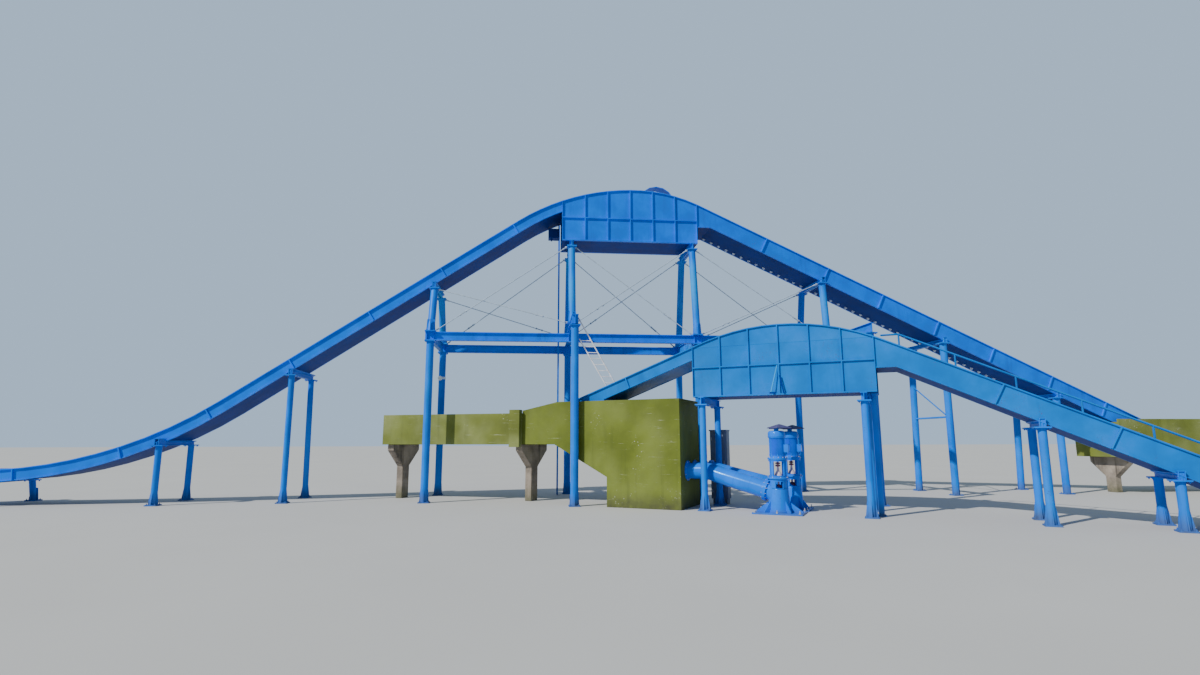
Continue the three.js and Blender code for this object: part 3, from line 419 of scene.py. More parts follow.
def hit(tree, point, direction):
    """Where a line from a point first meets a surface, and the surface's normal there."""
    place, normal, _, _ = tree.ray_cast(Vector(point), Vector(direction))
    if place is None:
        raise RuntimeError(f"nothing lies along {tuple(direction)} from {tuple(point)}")
    return place, normal


# Shader nodes

def add(tree, kind, inputs=None, **settings):
    node = tree.nodes.new(kind)
    for key, value in settings.items():
        setattr(node, key, value)
    for key, value in (inputs or {}).items():
        socket = node.inputs[key]
        if isinstance(value, bpy.types.NodeSocket):
            tree.links.new(value, socket)
        else:
            socket.default_value = value
    return node


def remap(tree, value, low, high, to_low=0.0, to_high=1.0):
    inputs = {"Value": value, "From Min": low, "From Max": high, "To Min": to_low, "To Max": to_high}
    return add(tree, "ShaderNodeMapRange", inputs, interpolation_type="SMOOTHSTEP").outputs[0]


def maths(tree, operation, a, b=0.0, clamp=False):
    return add(tree, "ShaderNodeMath", {0: a, 1: b}, operation=operation, use_clamp=clamp).outputs[0]


def times(tree, a, b, clamp=False):
    return maths(tree, "MULTIPLY", a, b, clamp)


def plus(tree, a, b, clamp=False):
    return maths(tree, "ADD", a, b, clamp)


def mixed(tree, factor, a, b):
    node = add(tree, "ShaderNodeMix", data_type="RGBA")
    for index, value in ((0, factor), (6, a), (7, b)):
        if isinstance(value, bpy.types.NodeSocket):
            tree.links.new(value, node.inputs[index])
        elif index == 0:
            node.inputs[index].default_value = value
        else:
            node.inputs[index].default_value = (*value[:3], 1.0)
    return node.outputs[2]


def noise(tree, vector, scale, detail=3.0, roughness=0.55):
    inputs = {"Vector": vector, "Scale": scale, "Detail": detail, "Roughness": roughness}
    return add(tree, "ShaderNodeTexNoise", inputs).outputs["Fac"]


def scaled(tree, vector, scale, rotation=(0, 0, 0)):
    inputs = {"Vector": vector, "Scale": scale, "Rotation": rotation}
    return add(tree, "ShaderNodeMapping", inputs).outputs[0]


def shaded(tint, factor):
    return [min(1.0, c * factor) for c in tint]


def effect(name, inputs, output, build):
    """A node group: inputs are (label, default) with None for a vector, and it has one output."""
    tree = bpy.data.node_groups.new(name, "ShaderNodeTree")
    for label, default in inputs:
        kind = "NodeSocketVector" if default is None else "NodeSocketFloat"
        socket = tree.interface.new_socket(label, in_out="INPUT", socket_type=kind)
        if default is not None:
            socket.default_value = default
    tree.interface.new_socket(output, in_out="OUTPUT", socket_type="NodeSocketFloat")
    start = tree.nodes.new("NodeGroupInput")
    end = tree.nodes.new("NodeGroupOutput")
    tree.links.new(build(tree, start.outputs), end.inputs[0])
    return tree


def use(tree, group, **inputs):
    node = tree.nodes.new("ShaderNodeGroup")
    node.node_tree = group
    for label, value in inputs.items():
        socket = node.inputs[label]
        if isinstance(value, bpy.types.NodeSocket):
            tree.links.new(value, socket)
        else:
            socket.default_value = value
    return node.outputs[0]


def build_streaks(tree, sockets):
    """Runs of dirty water down a surface: narrow across, long in Z, and gathered in patches."""
    wide = sockets["Fineness"]
    scales = add(tree, "ShaderNodeCombineXYZ", {0: wide, 1: wide, 2: sockets["Stretch"]}).outputs[0]
    both = {0: sockets["Vector"], 1: scales}
    place = add(tree, "ShaderNodeVectorMath", both, operation="MULTIPLY").outputs[0]
    lines = remap(tree, noise(tree, place, 1.0, 4.0, 0.6), 0.5, 0.72)
    patches = remap(tree, noise(tree, sockets["Vector"], 0.9, 2.0), 0.4, 0.62)
    return times(tree, times(tree, lines, patches), sockets["Amount"])


def build_fade(tree, sockets):
    """Large soft areas where the sun has faded the paint, with a cloudy finer pattern in them."""
    broad = remap(tree, noise(tree, sockets["Vector"], sockets["Size"], 2.0), 0.35, 0.7)
    fine = noise(tree, sockets["Vector"], 9.0, 5.0, 0.6)
    return times(tree, times(tree, broad, plus(tree, 0.45, fine)), sockets["Amount"], True)


def build_grime(tree, sockets):
    """Splashed dirt that is thick at a low height and breaks up as it rises."""
    height = add(tree, "ShaderNodeSeparateXYZ", {0: sockets["Vector"]}).outputs[2]
    rise = remap(tree, height, 0.0, sockets["Top"], 1.0, 0.0)
    uneven = times(tree, noise(tree, sockets["Vector"], 6.0, 6.0), 1.6)
    return times(tree, times(tree, rise, uneven), sockets["Amount"], True)


def build_chips(tree, sockets):
    """Small spots where the paint has come off, gathered in a few places."""
    inputs = {"Vector": sockets["Vector"], "Scale": sockets["Fineness"], "Randomness": 1.0}
    cells = add(tree, "ShaderNodeTexVoronoi", inputs).outputs["Distance"]
    spots = remap(tree, cells, 0.24, 0.16)
    where = remap(tree, noise(tree, sockets["Vector"], 1.6, 3.0), 0.58, 0.68)
    return times(tree, times(tree, spots, where), sockets["Amount"])


def build_sheet(tree, sockets):
    """The height of a painted sheet: brush texture on slow buckles of the plate."""
    peel = times(tree, noise(tree, sockets["Vector"], 70.0, 3.0), sockets["Peel"])
    buckle = times(tree, noise(tree, sockets["Vector"], 1.7, 1.0), sockets["Buckle"])
    return plus(tree, peel, buckle)


def build_effects():
    vector = ("Vector", None)
    amount = ("Amount", 1.0)
    streaks = [vector, ("Fineness", 8.0), ("Stretch", 0.8), amount]
    return {
        "streaks": effect("water_streaks", streaks, "Mask", build_streaks),
        "fade": effect("sun_fade", [vector, ("Size", 0.8), amount], "Mask", build_fade),
        "grime": effect("splash_grime", [vector, ("Top", 0.5), amount], "Mask", build_grime),
        "chips": effect("paint_chips", [vector, ("Fineness", 30.0), amount], "Mask", build_chips),
        "sheet": effect("sheet_height", [vector, ("Peel", 0.1), ("Buckle", 1.0)], "Height", build_sheet),
    }


def new_material(name):
    material = bpy.data.materials.new(name)
    material.use_nodes = True
    tree = material.node_tree
    place = add(tree, "ShaderNodeTexCoord").outputs["Object"]
    MATERIALS[name] = material
    return tree, tree.nodes["Principled BSDF"], place


def bump(tree, shader, height, distance):
    inputs = {"Height": height, "Distance": distance, "Strength": 1.0}
    tree.links.new(add(tree, "ShaderNodeBump", inputs).outputs[0], shader.inputs["Normal"])


def mottled(tree, cloud, tint, dark, light):
    """Two shades of a colour in a cloudy pattern."""
    return mixed(tree, remap(tree, cloud, 0.3, 0.7), shaded(tint, dark), shaded(tint, light))


def layered(tree, effects, place, base, layers):
    """A base colour with the colour of each effect laid over it in turn, and the effects' masks."""
    masks = {}
    for name, tint, settings in layers:
        masks[name] = use(tree, effects[name], Vector=place, **settings)
        base = mixed(tree, masks[name], base, tint)
    return base, masks


def steel_paint(effects, name, tint, chalk, fade=0.3, streaks=0.35, chips=0.5, gloss=0.38, dirt=0.5,
                dirt_top=0.35, shine=0.25):
    """Semi-gloss paint on steel: faded, streaked, chipped to rust and dirty near the ground."""
    tree, shader, place = new_material(name)
    base = mottled(tree, noise(tree, place, 2.2, 4.0), tint, 0.86, 1.12)
    base, masks = layered(tree, effects, place, base, [
        ("fade", chalk, dict(Amount=fade)),
        ("streaks", [c + 0.006 for c in shaded(tint, 0.4)], dict(Amount=streaks)),
        ("grime", (0.1, 0.09, 0.07), dict(Top=dirt_top, Amount=dirt)),
        ("chips", (0.13, 0.045, 0.02), dict(Amount=chips)),
    ])
    tree.links.new(base, shader.inputs["Base Color"])
    spots = masks["chips"]
    worn = times(tree, plus(tree, masks["fade"], masks["grime"]), 0.4)
    rough = plus(tree, plus(tree, worn, gloss), times(tree, spots, 0.3), True)
    tree.links.new(rough, shader.inputs["Roughness"])
    shader.inputs["Specular IOR Level"].default_value = shine
    # Painted reflection colour: every reflection of these paints is tinted sky blue.
    shader.inputs["Specular Tint"].default_value = (0.25, 0.65, 1.0, 1.0)
    sheet = use(tree, effects["sheet"], Vector=place, Peel=0.05, Buckle=1.0)
    bump(tree, shader, maths(tree, "SUBTRACT", sheet, times(tree, spots, 0.05)), 0.012)


def tank_paint(effects, name, tint, worn):
    """Matt olive paint: pale patches, scratches and spots, faint water runs and a dirty foot."""
    tree, shader, place = new_material(name)
    shade = noise(tree, place, 1.4, 5.0, 0.6)
    base = mottled(tree, shade, tint, 0.8, 1.2)
    pale = [("fade", (0.3, 0.34, 0.14), dict(Size=1.3, Amount=worn))]
    base, _ = layered(tree, effects, place, base, pale)
    slanted = scaled(tree, place, (2.0, 2.0, 30.0), (0.0, 0.5, 0.0))
    level = scaled(tree, place, (1.6, 1.6, 34.0))
    for lines, cut in ((slanted, 0.66), (level, 0.64)):
        scratches = remap(tree, noise(tree, lines, 1.2, 6.0, 0.7), cut, cut + 0.05)
        base = mixed(tree, times(tree, scratches, 0.4 + 0.4 * worn), base, (0.5, 0.54, 0.36))
    base, _ = layered(tree, effects, place, base, [
        ("chips", (0.6, 0.62, 0.5), dict(Fineness=22.0, Amount=0.6)),
        ("streaks", (0.05, 0.065, 0.015), dict(Fineness=9.0, Stretch=0.6, Amount=0.25)),
        ("grime", (0.05, 0.05, 0.03), dict(Top=0.35, Amount=0.8)),
    ])
    tree.links.new(base, shader.inputs["Base Color"])
    tree.links.new(plus(tree, 0.48, times(tree, shade, 0.25)), shader.inputs["Roughness"])
    shader.inputs["Specular IOR Level"].default_value = 0.25
    bump(tree, shader, use(tree, effects["sheet"], Vector=place, Peel=0.08, Buckle=1.6), 0.012)


def cast_concrete(effects, name, tint):
    """Rough concrete with the marks of its boards, stains and small air holes."""
    tree, shader, place = new_material(name)
    base = mottled(tree, noise(tree, place, 2.6, 8.0, 0.65), tint, 0.55, 1.25)
    base, _ = layered(tree, effects, place, base, [
        ("streaks", (0.06, 0.05, 0.04), dict(Fineness=10.0, Stretch=0.7, Amount=0.8)),
        ("grime", (0.09, 0.1, 0.04), dict(Top=0.4, Amount=0.7)),
    ])
    tree.links.new(base, shader.inputs["Base Color"])
    shader.inputs["Roughness"].default_value = 0.9
    boards = add(tree, "ShaderNodeTexWave", {"Vector": place, "Scale": 3.2, "Distortion": 0.4},
                 bands_direction="Z", wave_profile="SAW").outputs["Fac"]
    grain = noise(tree, place, 60.0, 6.0, 0.7)
    cells = add(tree, "ShaderNodeTexVoronoi", {"Vector": place, "Scale": 26.0}).outputs["Distance"]
    marks = plus(tree, times(tree, boards, 0.5), grain)
    bump(tree, shader, maths(tree, "SUBTRACT", marks, remap(tree, cells, 0.1, 0.05)), 0.006)


def bare_metal(effects, name, tint, rough=0.4, metallic=0.85, dirt=0.4):
    """Dull bare metal with cloudy oxide and grime in patches."""
    tree, shader, place = new_material(name)
    cloud = noise(tree, place, 14.0, 6.0, 0.65)
    base = mixed(tree, remap(tree, cloud, 0.35, 0.65), shaded(tint, 0.7), tint)
    grime = [("streaks", (0.12, 0.1, 0.08), dict(Fineness=14.0, Amount=dirt))]
    base, _ = layered(tree, effects, place, base, grime)
    tree.links.new(base, shader.inputs["Base Color"])
    tree.links.new(plus(tree, rough, times(tree, cloud, 0.25)), shader.inputs["Roughness"])
    shader.inputs["Metallic"].default_value = metallic
    bump(tree, shader, noise(tree, place, 120.0, 3.0), 0.0015)


def pale_floor(name):
    tree, shader, place = new_material(name)
    cloud = noise(tree, place, 0.35, 3.0)
    tree.links.new(mixed(tree, cloud, (0.5, 0.5, 0.49), (0.56, 0.56, 0.55)), shader.inputs["Base Color"])
    shader.inputs["Roughness"].default_value = 0.85


MATERIALS = {}


def build_materials(paint):
    effects = build_effects()
    chalk = tuple(paint.chalk_blue)
    looks = {
        "tall_paint": (paint.tall_blue, dict(fade=0.05, streaks=0.3, dirt=0.3, dirt_top=0.6)),
        "small_paint": (paint.small_blue, dict(fade=0.1, streaks=0.2, dirt=0.3, dirt_top=0.5)),
        "cover_paint": (paint.small_blue, dict(fade=0.32, streaks=0.1, chips=0.2, dirt=0.0)),
        "faint_cover_paint": (paint.small_blue, dict(fade=0.18, streaks=0.1, chips=0.2, dirt=0.0)),
        "column_paint": (paint.column_blue, dict(fade=0.25, streaks=0.4, dirt=0.7, dirt_top=0.3)),
        # The upper towers take a far paler copy: faded paint, and partly painted sunlight on the towers.
        "chalk_and_painted_sun_paint": (paint.column_blue, dict(fade=0.8, streaks=0.35, dirt=0.0)),
        "beam_paint": (paint.tall_blue, dict(fade=0.2, streaks=0.5, dirt=0.0)),
        # Painted shade: the dark blue of floors, undersides, the drive box and the prop's bracket.
        "painted_shade_paint": (paint.painted_shade_blue, dict(fade=0.0, streaks=0.4, chips=0.7, gloss=0.5, dirt=0.4,
                                               shine=0.06)),
        "pump_paint": (paint.pump_blue, dict(fade=0.05, streaks=0.12, chips=0.7, gloss=0.16, dirt=0.5,
                                             dirt_top=0.1, shine=0.5)),
        "prop_paint": (paint.chalk_blue, dict(fade=0.2, streaks=0.2, chips=0.3, dirt=0.0)),
        "hat_sheet": (paint.hat_grey, dict(fade=0.1, streaks=0.5, chips=0.9, gloss=0.45, dirt=0.0)),
        "cabinet_paint": (paint.cabinet_grey, dict(fade=0.05, streaks=0.5, chips=0.4, gloss=0.4)),
        "coupling_primer": (paint.coupling_red, dict(fade=0.1, streaks=0.4, chips=0.8, gloss=0.5,
                                                     dirt=0.0)),
    }
    for name, (tint, look) in looks.items():
        steel_paint(effects, name, tuple(tint), chalk, **look)
    tank_paint(effects, "tank_paint", tuple(paint.tank_green), 0.2)
    tank_paint(effects, "trough_paint", tuple(paint.trough_green), 0.6)
    cast_concrete(effects, "concrete", tuple(paint.concrete))
    bare_metal(effects, "ladder_metal", (0.95, 0.96, 1.0), 0.4, 0.0, 0.15)
    bare_metal(effects, "coupling_finish", (0.82, 0.66, 0.7), 0.5, 0.0, 0.3)
    # Pale bluish white. On the chain roller ends it is partly painted light, which shows them as light dots
    # in the ramp's shade.
    bare_metal(effects, "zinc", (0.8, 0.9, 1.0), 0.35, 0.0, 0.1)
    bare_metal(effects, "rod_metal", (0.5, 0.62, 0.75), 0.45, 0.1)
    bare_metal(effects, "nut_metal", (0.66, 0.66, 0.64), 0.4, 0.5, 0.6)
    pale_floor("floor_finish")


# Steelwork

def add_pad(shape, place):
    shape.box((-PAD_HALF, -PAD_HALF, 0), (PAD_HALF, PAD_HALF, PAD_THICK), place)


def add_foot(shape, foot, bolts, radius):
    """A base plate with four fins and four anchor nuts. foot is the middle of its underside."""
    place = Matrix.Translation(foot)
    add_pad(shape, place)
    reach = PAD_HALF - GUSSET_THICK
    half = GUSSET_THICK / 2
    top = PAD_THICK / 2 + GUSSET_HEIGHT
    fin = [(radius / 2, -half, PAD_THICK), (reach, -half, PAD_THICK), (reach, -half, PAD_THICK * 2),
           (radius * 1.02, -half, top), (radius / 2, -half, top)]
    nut = Vector((PAD_HALF * 0.72, PAD_HALF * 0.72, PAD_THICK))
    for k in range(4):
        spin = place @ Matrix.Rotation(k * math.pi / 2, 4, "Z")
        shape.slab(fin, (0, 2 * half, 0), spin)
        shape.bolt(spin @ nut, (0, 0, 1), bolts, bolts * 1.3)


def add_head(shape, head, bolts):
    """A head plate with a nut under each corner. head is the middle of its underside."""
    place = Matrix.Translation(head)
    add_pad(shape, place)
    for x, y in square_corners(PAD_HALF * 0.76):
        shape.bolt(place @ Vector((x, y, 0)), (0, 0, -1), bolts, bolts * 0.8)


def add_column(shape, foot, head, radius, steel):
    """A column between the middles of its two plates, with both plates and their welds."""
    sink = Vector((0, 0, PAD_THICK / 2))
    sides = steel.column_sides
    shape.loft([[end + p for p in circle(radius, sides)] for end in (foot + sink, head + sink)])
    for weld in (foot + Vector((0, 0, PAD_THICK + 0.002)), head - Vector((0, 0, 0.002))):
        shape.bead(radius, 0.006, Matrix.Translation(weld), sides)
    add_foot(shape, foot, steel.bolt_radius, radius)
    add_head(shape, head, steel.bolt_radius)


def cap_top(node, turn, x, head):
    """Heights of the two upper edges of a cap beam, read from its node."""
    tops = []
    for side in (-1, 1):
        edge = x + side * CAP_HALF
        heights = [
            v.co.z for v in NODES[node].data.vertices
            if abs(turned_back(v.co, turn).x - edge) < 0.0012 and v.co.z > head + PAD_THICK + 0.002
        ]
        tops.append(max(heights))
    return tops


def add_cap(shape, node, turn, columns, front):
    """The I-section cap beam over two columns, and on a slope its upright end in front.
    front is the outer face of the channel's near side."""
    heads = [head for _, head in columns[:2]]
    x, low = heads[0].x, heads[0].z + PAD_THICK / 2
    left, right = cap_top(node, turn, x, heads[0].z)
    y0, y1 = heads[0].y - CAP_PAST, heads[1].y + CAP_PAST
    over = low + FLANGE
    web_top = (left + right) / 2 - FLANGE / 2
    shape.box((x - CAP_HALF, y0, low), (x + CAP_HALF, y1, over))
    shape.box((x - WEB / 2, y0 + 0.002, low), (x + WEB / 2, y1 - 0.002, web_top))
    edges = [(x - CAP_HALF, y0, left - FLANGE), (x + CAP_HALF, y0, right - FLANGE),
             (x + CAP_HALF, y0, right), (x - CAP_HALF, y0, left)]
    shape.slab(edges, (0, y1 - y0, 0))
    if abs(left - right) < 0.002:
        for head in heads:
            for a, b in either_side(x, WEB / 2, CAP_HALF - 0.004):
                shape.box((a, head.y - 0.005, over), (b, head.y + 0.005, left - FLANGE))
        return
    start, end = y0 - PLATE / 4, front - RIB_OUT - PLATE / 4
    top = low + STUB_HEIGHT
    for a, b in either_side(x, STUB_HALF - FLANGE, STUB_HALF):
        shape.box((a, start, over), (b, end, top))
    middle = (start + end) / 2
    web, plate = STUB_HALF - 0.004, STUB_HALF + 0.008
    shape.box((x - web, middle - WEB / 2, over), (x + web, middle + WEB / 2, top))
    shape.box((x - plate, start - 0.004, top), (x + plate, end, top + FLANGE))


def add_trestle(node, turn, radius, finish, steel, front):
    shape = Shape(Matrix.Rotation(turn, 4, "Z"))
    columns = columns_of(node, turn)
    for foot, head in columns:
        add_column(shape, foot, head, radius, steel)
    add_cap(shape, node, turn, columns, front)
    if node == "small_trestle_2":
        add_side_post(shape, steel)
    if node == "ramp_trestle_1":
        add_braces(shape, columns)
    add_piece(shape, node + "_steel", [finish], [node])


def add_side_post(shape, steel):
    """The thin post beside the second small trestle's front column."""
    radius, half, arm = 0.045, 0.072, 0.13
    x, y, _ = turned_back(SMALL_PLACE @ Vector((2.93, 0.325, 0)), SMALL_TURN)
    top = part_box("small_trestle_2")[1].z
    shape.bar(radius, 0.01, top - 0.01, Matrix.Translation((x, y, 0)), 28)
    shape.bead(radius, 0.005, Matrix.Translation((x, y, PAD_THICK)), 28)
    shape.box((x - half, y - half, 0), (x + half, y + half, PAD_THICK))
    shape.box((x - arm, y - half, top - PAD_THICK), (x + half, y + half, top))
    for dx, dy in square_corners(half * 0.74):
        shape.bolt((x + dx, y + dy, PAD_THICK), (0, 0, 1), steel.bolt_radius * 0.7, 0.01)


def add_braces(shape, columns):
    """A strut between the two columns and a slanting angle bar above it."""
    (near_foot, _), (far_foot, far_head) = columns
    x = near_foot.x
    low, high = 1.675, 2.45
    near = near_foot.y + 0.0375
    far = (far_foot.y + far_head.y) / 2 - 0.0375
    thick, wide = 0.006, 0.04
    left = x - wide / 2
    shape.box((left, near, low), (left + wide, far, low + thick))
    shape.box((left, near, low), (left + thick, far, low + wide))
    start, end = Vector((left, near + wide, low + wide)), Vector((left, far, high))
    shape.slab([(left, near, low + wide), start, end, (left, far, high + wide)], (thick, 0, 0))
    up = Vector((0, 0, thick))
    shape.slab([start, end, end + up, start + up], (wide, 0, 0))


class FLUME_OT_trestles(bpy.types.Operator):
    """Round columns, cap beams, base plates and anchor nuts of every trestle and upper tower"""
    bl_idname = "flume.trestles"
    bl_label = "Trestles"

    def execute(self, context):
        steel = context.scene.flume_steelwork
        small_front = turned_back(SMALL_PLACE.translation, SMALL_TURN).y
        for node in SLIDE_TRESTLES:
            add_trestle(node, 0, steel.small_column_radius, "column_paint", steel, TALL_FRONT)
        for node in RAMP_TRESTLES:
            add_trestle(node, 0, steel.column_radius, "column_paint", steel, TALL_FRONT)
        for node in UPPER_TOWERS:
            # The upper towers take the pale paint, partly painted sunlight.
            add_trestle(node, 0, steel.column_radius, "chalk_and_painted_sun_paint", steel, TALL_FRONT)
        for node in SMALL_TRESTLES:
            add_trestle(node, SMALL_TURN, steel.small_column_radius, "column_paint", steel, small_front)
        return {"FINISHED"}


class FLUME_OT_middle_frame(bpy.types.Operator):
    """Lower portals, the ladder tower's girder and the long beams"""
    bl_idname = "flume.middle_frame"
    bl_label = "Middle frame"

    def execute(self, context):
        steel = context.scene.flume_steelwork
        front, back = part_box("long_beam_front"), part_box("long_beam_back")
        top = front[1].z
        for node in ("long_beam_front", "long_beam_back"):
            dress(node, "beam_paint", 0.002)
        for node in PORTALS:
            shape = Shape()
            columns = columns_of(node)
            for foot, head in columns:
                add_column(shape, foot, head, steel.column_radius, steel)
            if len(columns) == 2:
                x = columns[0][0].x
                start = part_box(node)[0].y if node == "lower_portal_4" else front[1].y + SEAM
                shape.i_beam((x, start, top), (x, back[0].y - SEAM, top), 0.19, 0.08)
            add_piece(shape, node + "_steel", ["column_paint"], [node])
        self.add_girder(steel, top)
        self.add_stiffeners((front, back), top)
        return {"FINISHED"}

    def add_girder(self, steel, top):
        """The deep girder on the long beams, with the column under its forward end."""
        node = "ladder_tower_girder"
        shape = Shape()
        low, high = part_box(node)
        x = (low.x + high.x) / 2
        foot, head = columns_of(node)[0]
        add_column(shape, foot, head, steel.column_radius, steel)
        depth, width = high.z - top - SEAM, 0.13
        shape.i_beam((x, low.y, high.z), (x, high.y, high.z), depth, width)
        bottom = high.z - depth + FLANGE
        for y in (low.y + 0.05, low.y + 0.16, head.y + 0.4):
            for a, b in either_side(x, WEB / 2, width / 2 - 0.004):
                shape.box((a, y - STIFFENER, bottom), (b, y + STIFFENER, high.z - FLANGE))
        add_piece(shape, node + "_steel", ["column_paint"], [node])

    def add_stiffeners(self, beams, top):
        """Web plates of the long beams beside each column."""
        shape = Shape()
        beside, flange, web = 0.07, 0.0205, 0.0125
        for low, high in beams:
            y = (low.y + high.y) / 2
            for node in ("lower_portal_1", "lower_portal_3", "ladder_tower_back_column"):
                for x in (columns_of(node)[0][0].x + side for side in (-beside, beside)):
                    for a, b in ((low.y + 0.004, y - web), (y + web, high.y - 0.004)):
                        shape.box((x - STIFFENER, a, low.z + flange), (x + STIFFENER, b, top - flange))
        add_piece(shape, "beam_stiffeners", ["beam_paint"])


class FLUME_OT_tie_rods(bpy.types.Operator):
    """Crossed tie rods with turnbuckles between the upper towers"""
    bl_idname = "flume.tie_rods"
    bl_label = "Tie rods"

    def execute(self, context):
        radius = context.scene.flume_steelwork.rod_radius
        towers = [columns_of(node)[:2] for node in UPPER_TOWERS]
        reach = PAD_HALF - LUG_HALF
        gap = PAD_HALF + SEAM + LUG_HALF
        high_drop = Vector((0, 0, -LUG_HALF / 2))
        deep_rise = Vector((0, 0, SEAM + LUG_HALF))
        for bay, (left, right) in enumerate(zip(towers, towers[1:]), 1):
            shape = Shape()
            for (foot, head), (next_foot, next_head) in zip(left, right):
                ahead, behind = Vector((reach, 0, 0)), Vector((-gap, 0, 0))
                falling = (head + ahead + high_drop, next_foot + behind + deep_rise)
                rising = (next_head + behind + high_drop, foot + ahead + deep_rise)
                self.add_rod(shape, *falling, radius, -radius * 1.1)
                self.add_rod(shape, *rising, radius, radius * 1.1)
            add_piece(shape, f"tie_rods_{bay}", ["rod_metal"])
        return {"FINISHED"}

    def add_rod(self, shape, high, low, radius, aside):
        """A rod from a high lug to a low one. aside keeps two crossing rods apart in Y."""
        shift = Vector((0, aside, 0))
        along = (low - high).normalized()
        lug = Vector((0.022, 0.004, 0.022))
        for end in (high, low):
            shape.box(end - lug, end + lug)
            shape.bolt(end - Vector((0, 0.004, 0)), (0, -1, 0), radius * 1.1, 0.004)
        start, end = high + along * 0.03 + shift, low - along * 0.03 + shift
        shape.tube([start, end], radius, 12)
        for point, way in ((start, along), (end, -along)):
            shape.turned([(radius * 1.6, 0), (radius * 1.6, 0.05), (radius, 0.075)], facing(point, way), 12)
        centre = start.lerp(end, 0.8)
        half = radius * 0.6
        for side in (-1, 1):
            x = radius * 1.7 * side
            shape.box((x - half, -radius, -0.07), (x + half, radius, 0.07), facing(centre, along))
            shape.bar(radius * 2.3, 0.055, 0.085, facing(centre, along * side), 8)


# Channels, crests and handrail

class FLUME_OT_channels(bpy.types.Operator):
    """Sheets of the channels, the crest fascias and their floors"""
    bl_idname = "flume.channels"
    bl_label = "Channels and crests"

    def execute(self, context):
        for hill in ("tall", "small"):
            paint = hill + "_paint"
            for side in ("front", "back"):
                dress(f"{hill}_fascia_{side}", paint)
            for side in ("near", "far"):
                dress(f"{hill}_ramp_{side}_side", paint)
            # Floors and undersides take the dark blue of painted shade.
            for node in ("ramp_floor", "crest_floor", "underside"):
                dress(f"{hill}_{node}", "painted_shade_paint", 0.002)
        for side in ("near", "far"):
            dress(f"tall_slide_{side}_side", "tall_paint")
        # The slide's floor takes the painted-shade blue too.
        dress("tall_slide_floor", "painted_shade_paint", 0.002)
        dress("small_slide", "small_paint")
        dress("wheel_guard", "tall_paint")
        self.add_cover_sheets()
        return {"FINISHED"}

    def add_cover_sheets(self):
        """Thin sheets over the top of the small fascia's panels, from a level lap line up to the rim."""
        shape = Shape(SMALL_PLACE)
        fascia = surface("small_fascia_front")
        panel_width, thick, below_rim, side_gap = 0.5, 0.0025, 0.024, RIB_HALF + 0.003
        for panel in range(6):
            shape.finish = 0 if panel < 3 else 1
            x0, x1 = panel * panel_width + side_gap, (panel + 1) * panel_width - side_gap
            edge = []
            for i in range(9):
                x = x0 + (x1 - x0) * i / 8
                rim, _ = hit(fascia, SMALL_PLACE @ Vector((x, 0.01, 5)), (0, 0, -1))
                if rim.z - below_rim > LAP_LINE + 0.004:
                    edge.append((x, -thick, rim.z - below_rim))
            low = [(edge[-1][0], -thick, LAP_LINE), (edge[0][0], -thick, LAP_LINE)]
            shape.slab(edge + low, (0, thick, 0))
        add_piece(shape, "small_cover_sheets", ["cover_paint", "faint_cover_paint"])


class FLUME_OT_rollers(bpy.types.Operator):
    """Zinced axle ends that stand out under the far edge of the tall ramp; their pale bluish white is
    partly painted light, which shows them as light dots in the ramp's shade
    """
    bl_idname = "flume.rollers"
    bl_label = "Chain rollers"

    def execute(self, context):
        spacing = context.scene.flume_steelwork.roller_spacing
        floor = surface("tall_ramp_floor")
        low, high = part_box("tall_ramp_floor")
        inset, first, ends = 0.13, 0.35, 0.6
        y = TALL_FRONT + CHANNEL_WIDTH - inset
        shape = Shape()
        for i in range(int((high.x - low.x - ends) / spacing)):
            point, normal = hit(floor, (low.x + first + i * spacing, y, 0), (0, 0, 1))
            shape.bolt(point, normal, 0.026, 0.012)
        add_piece(shape, "chain_roller_ends", ["zinc"])
        return {"FINISHED"}


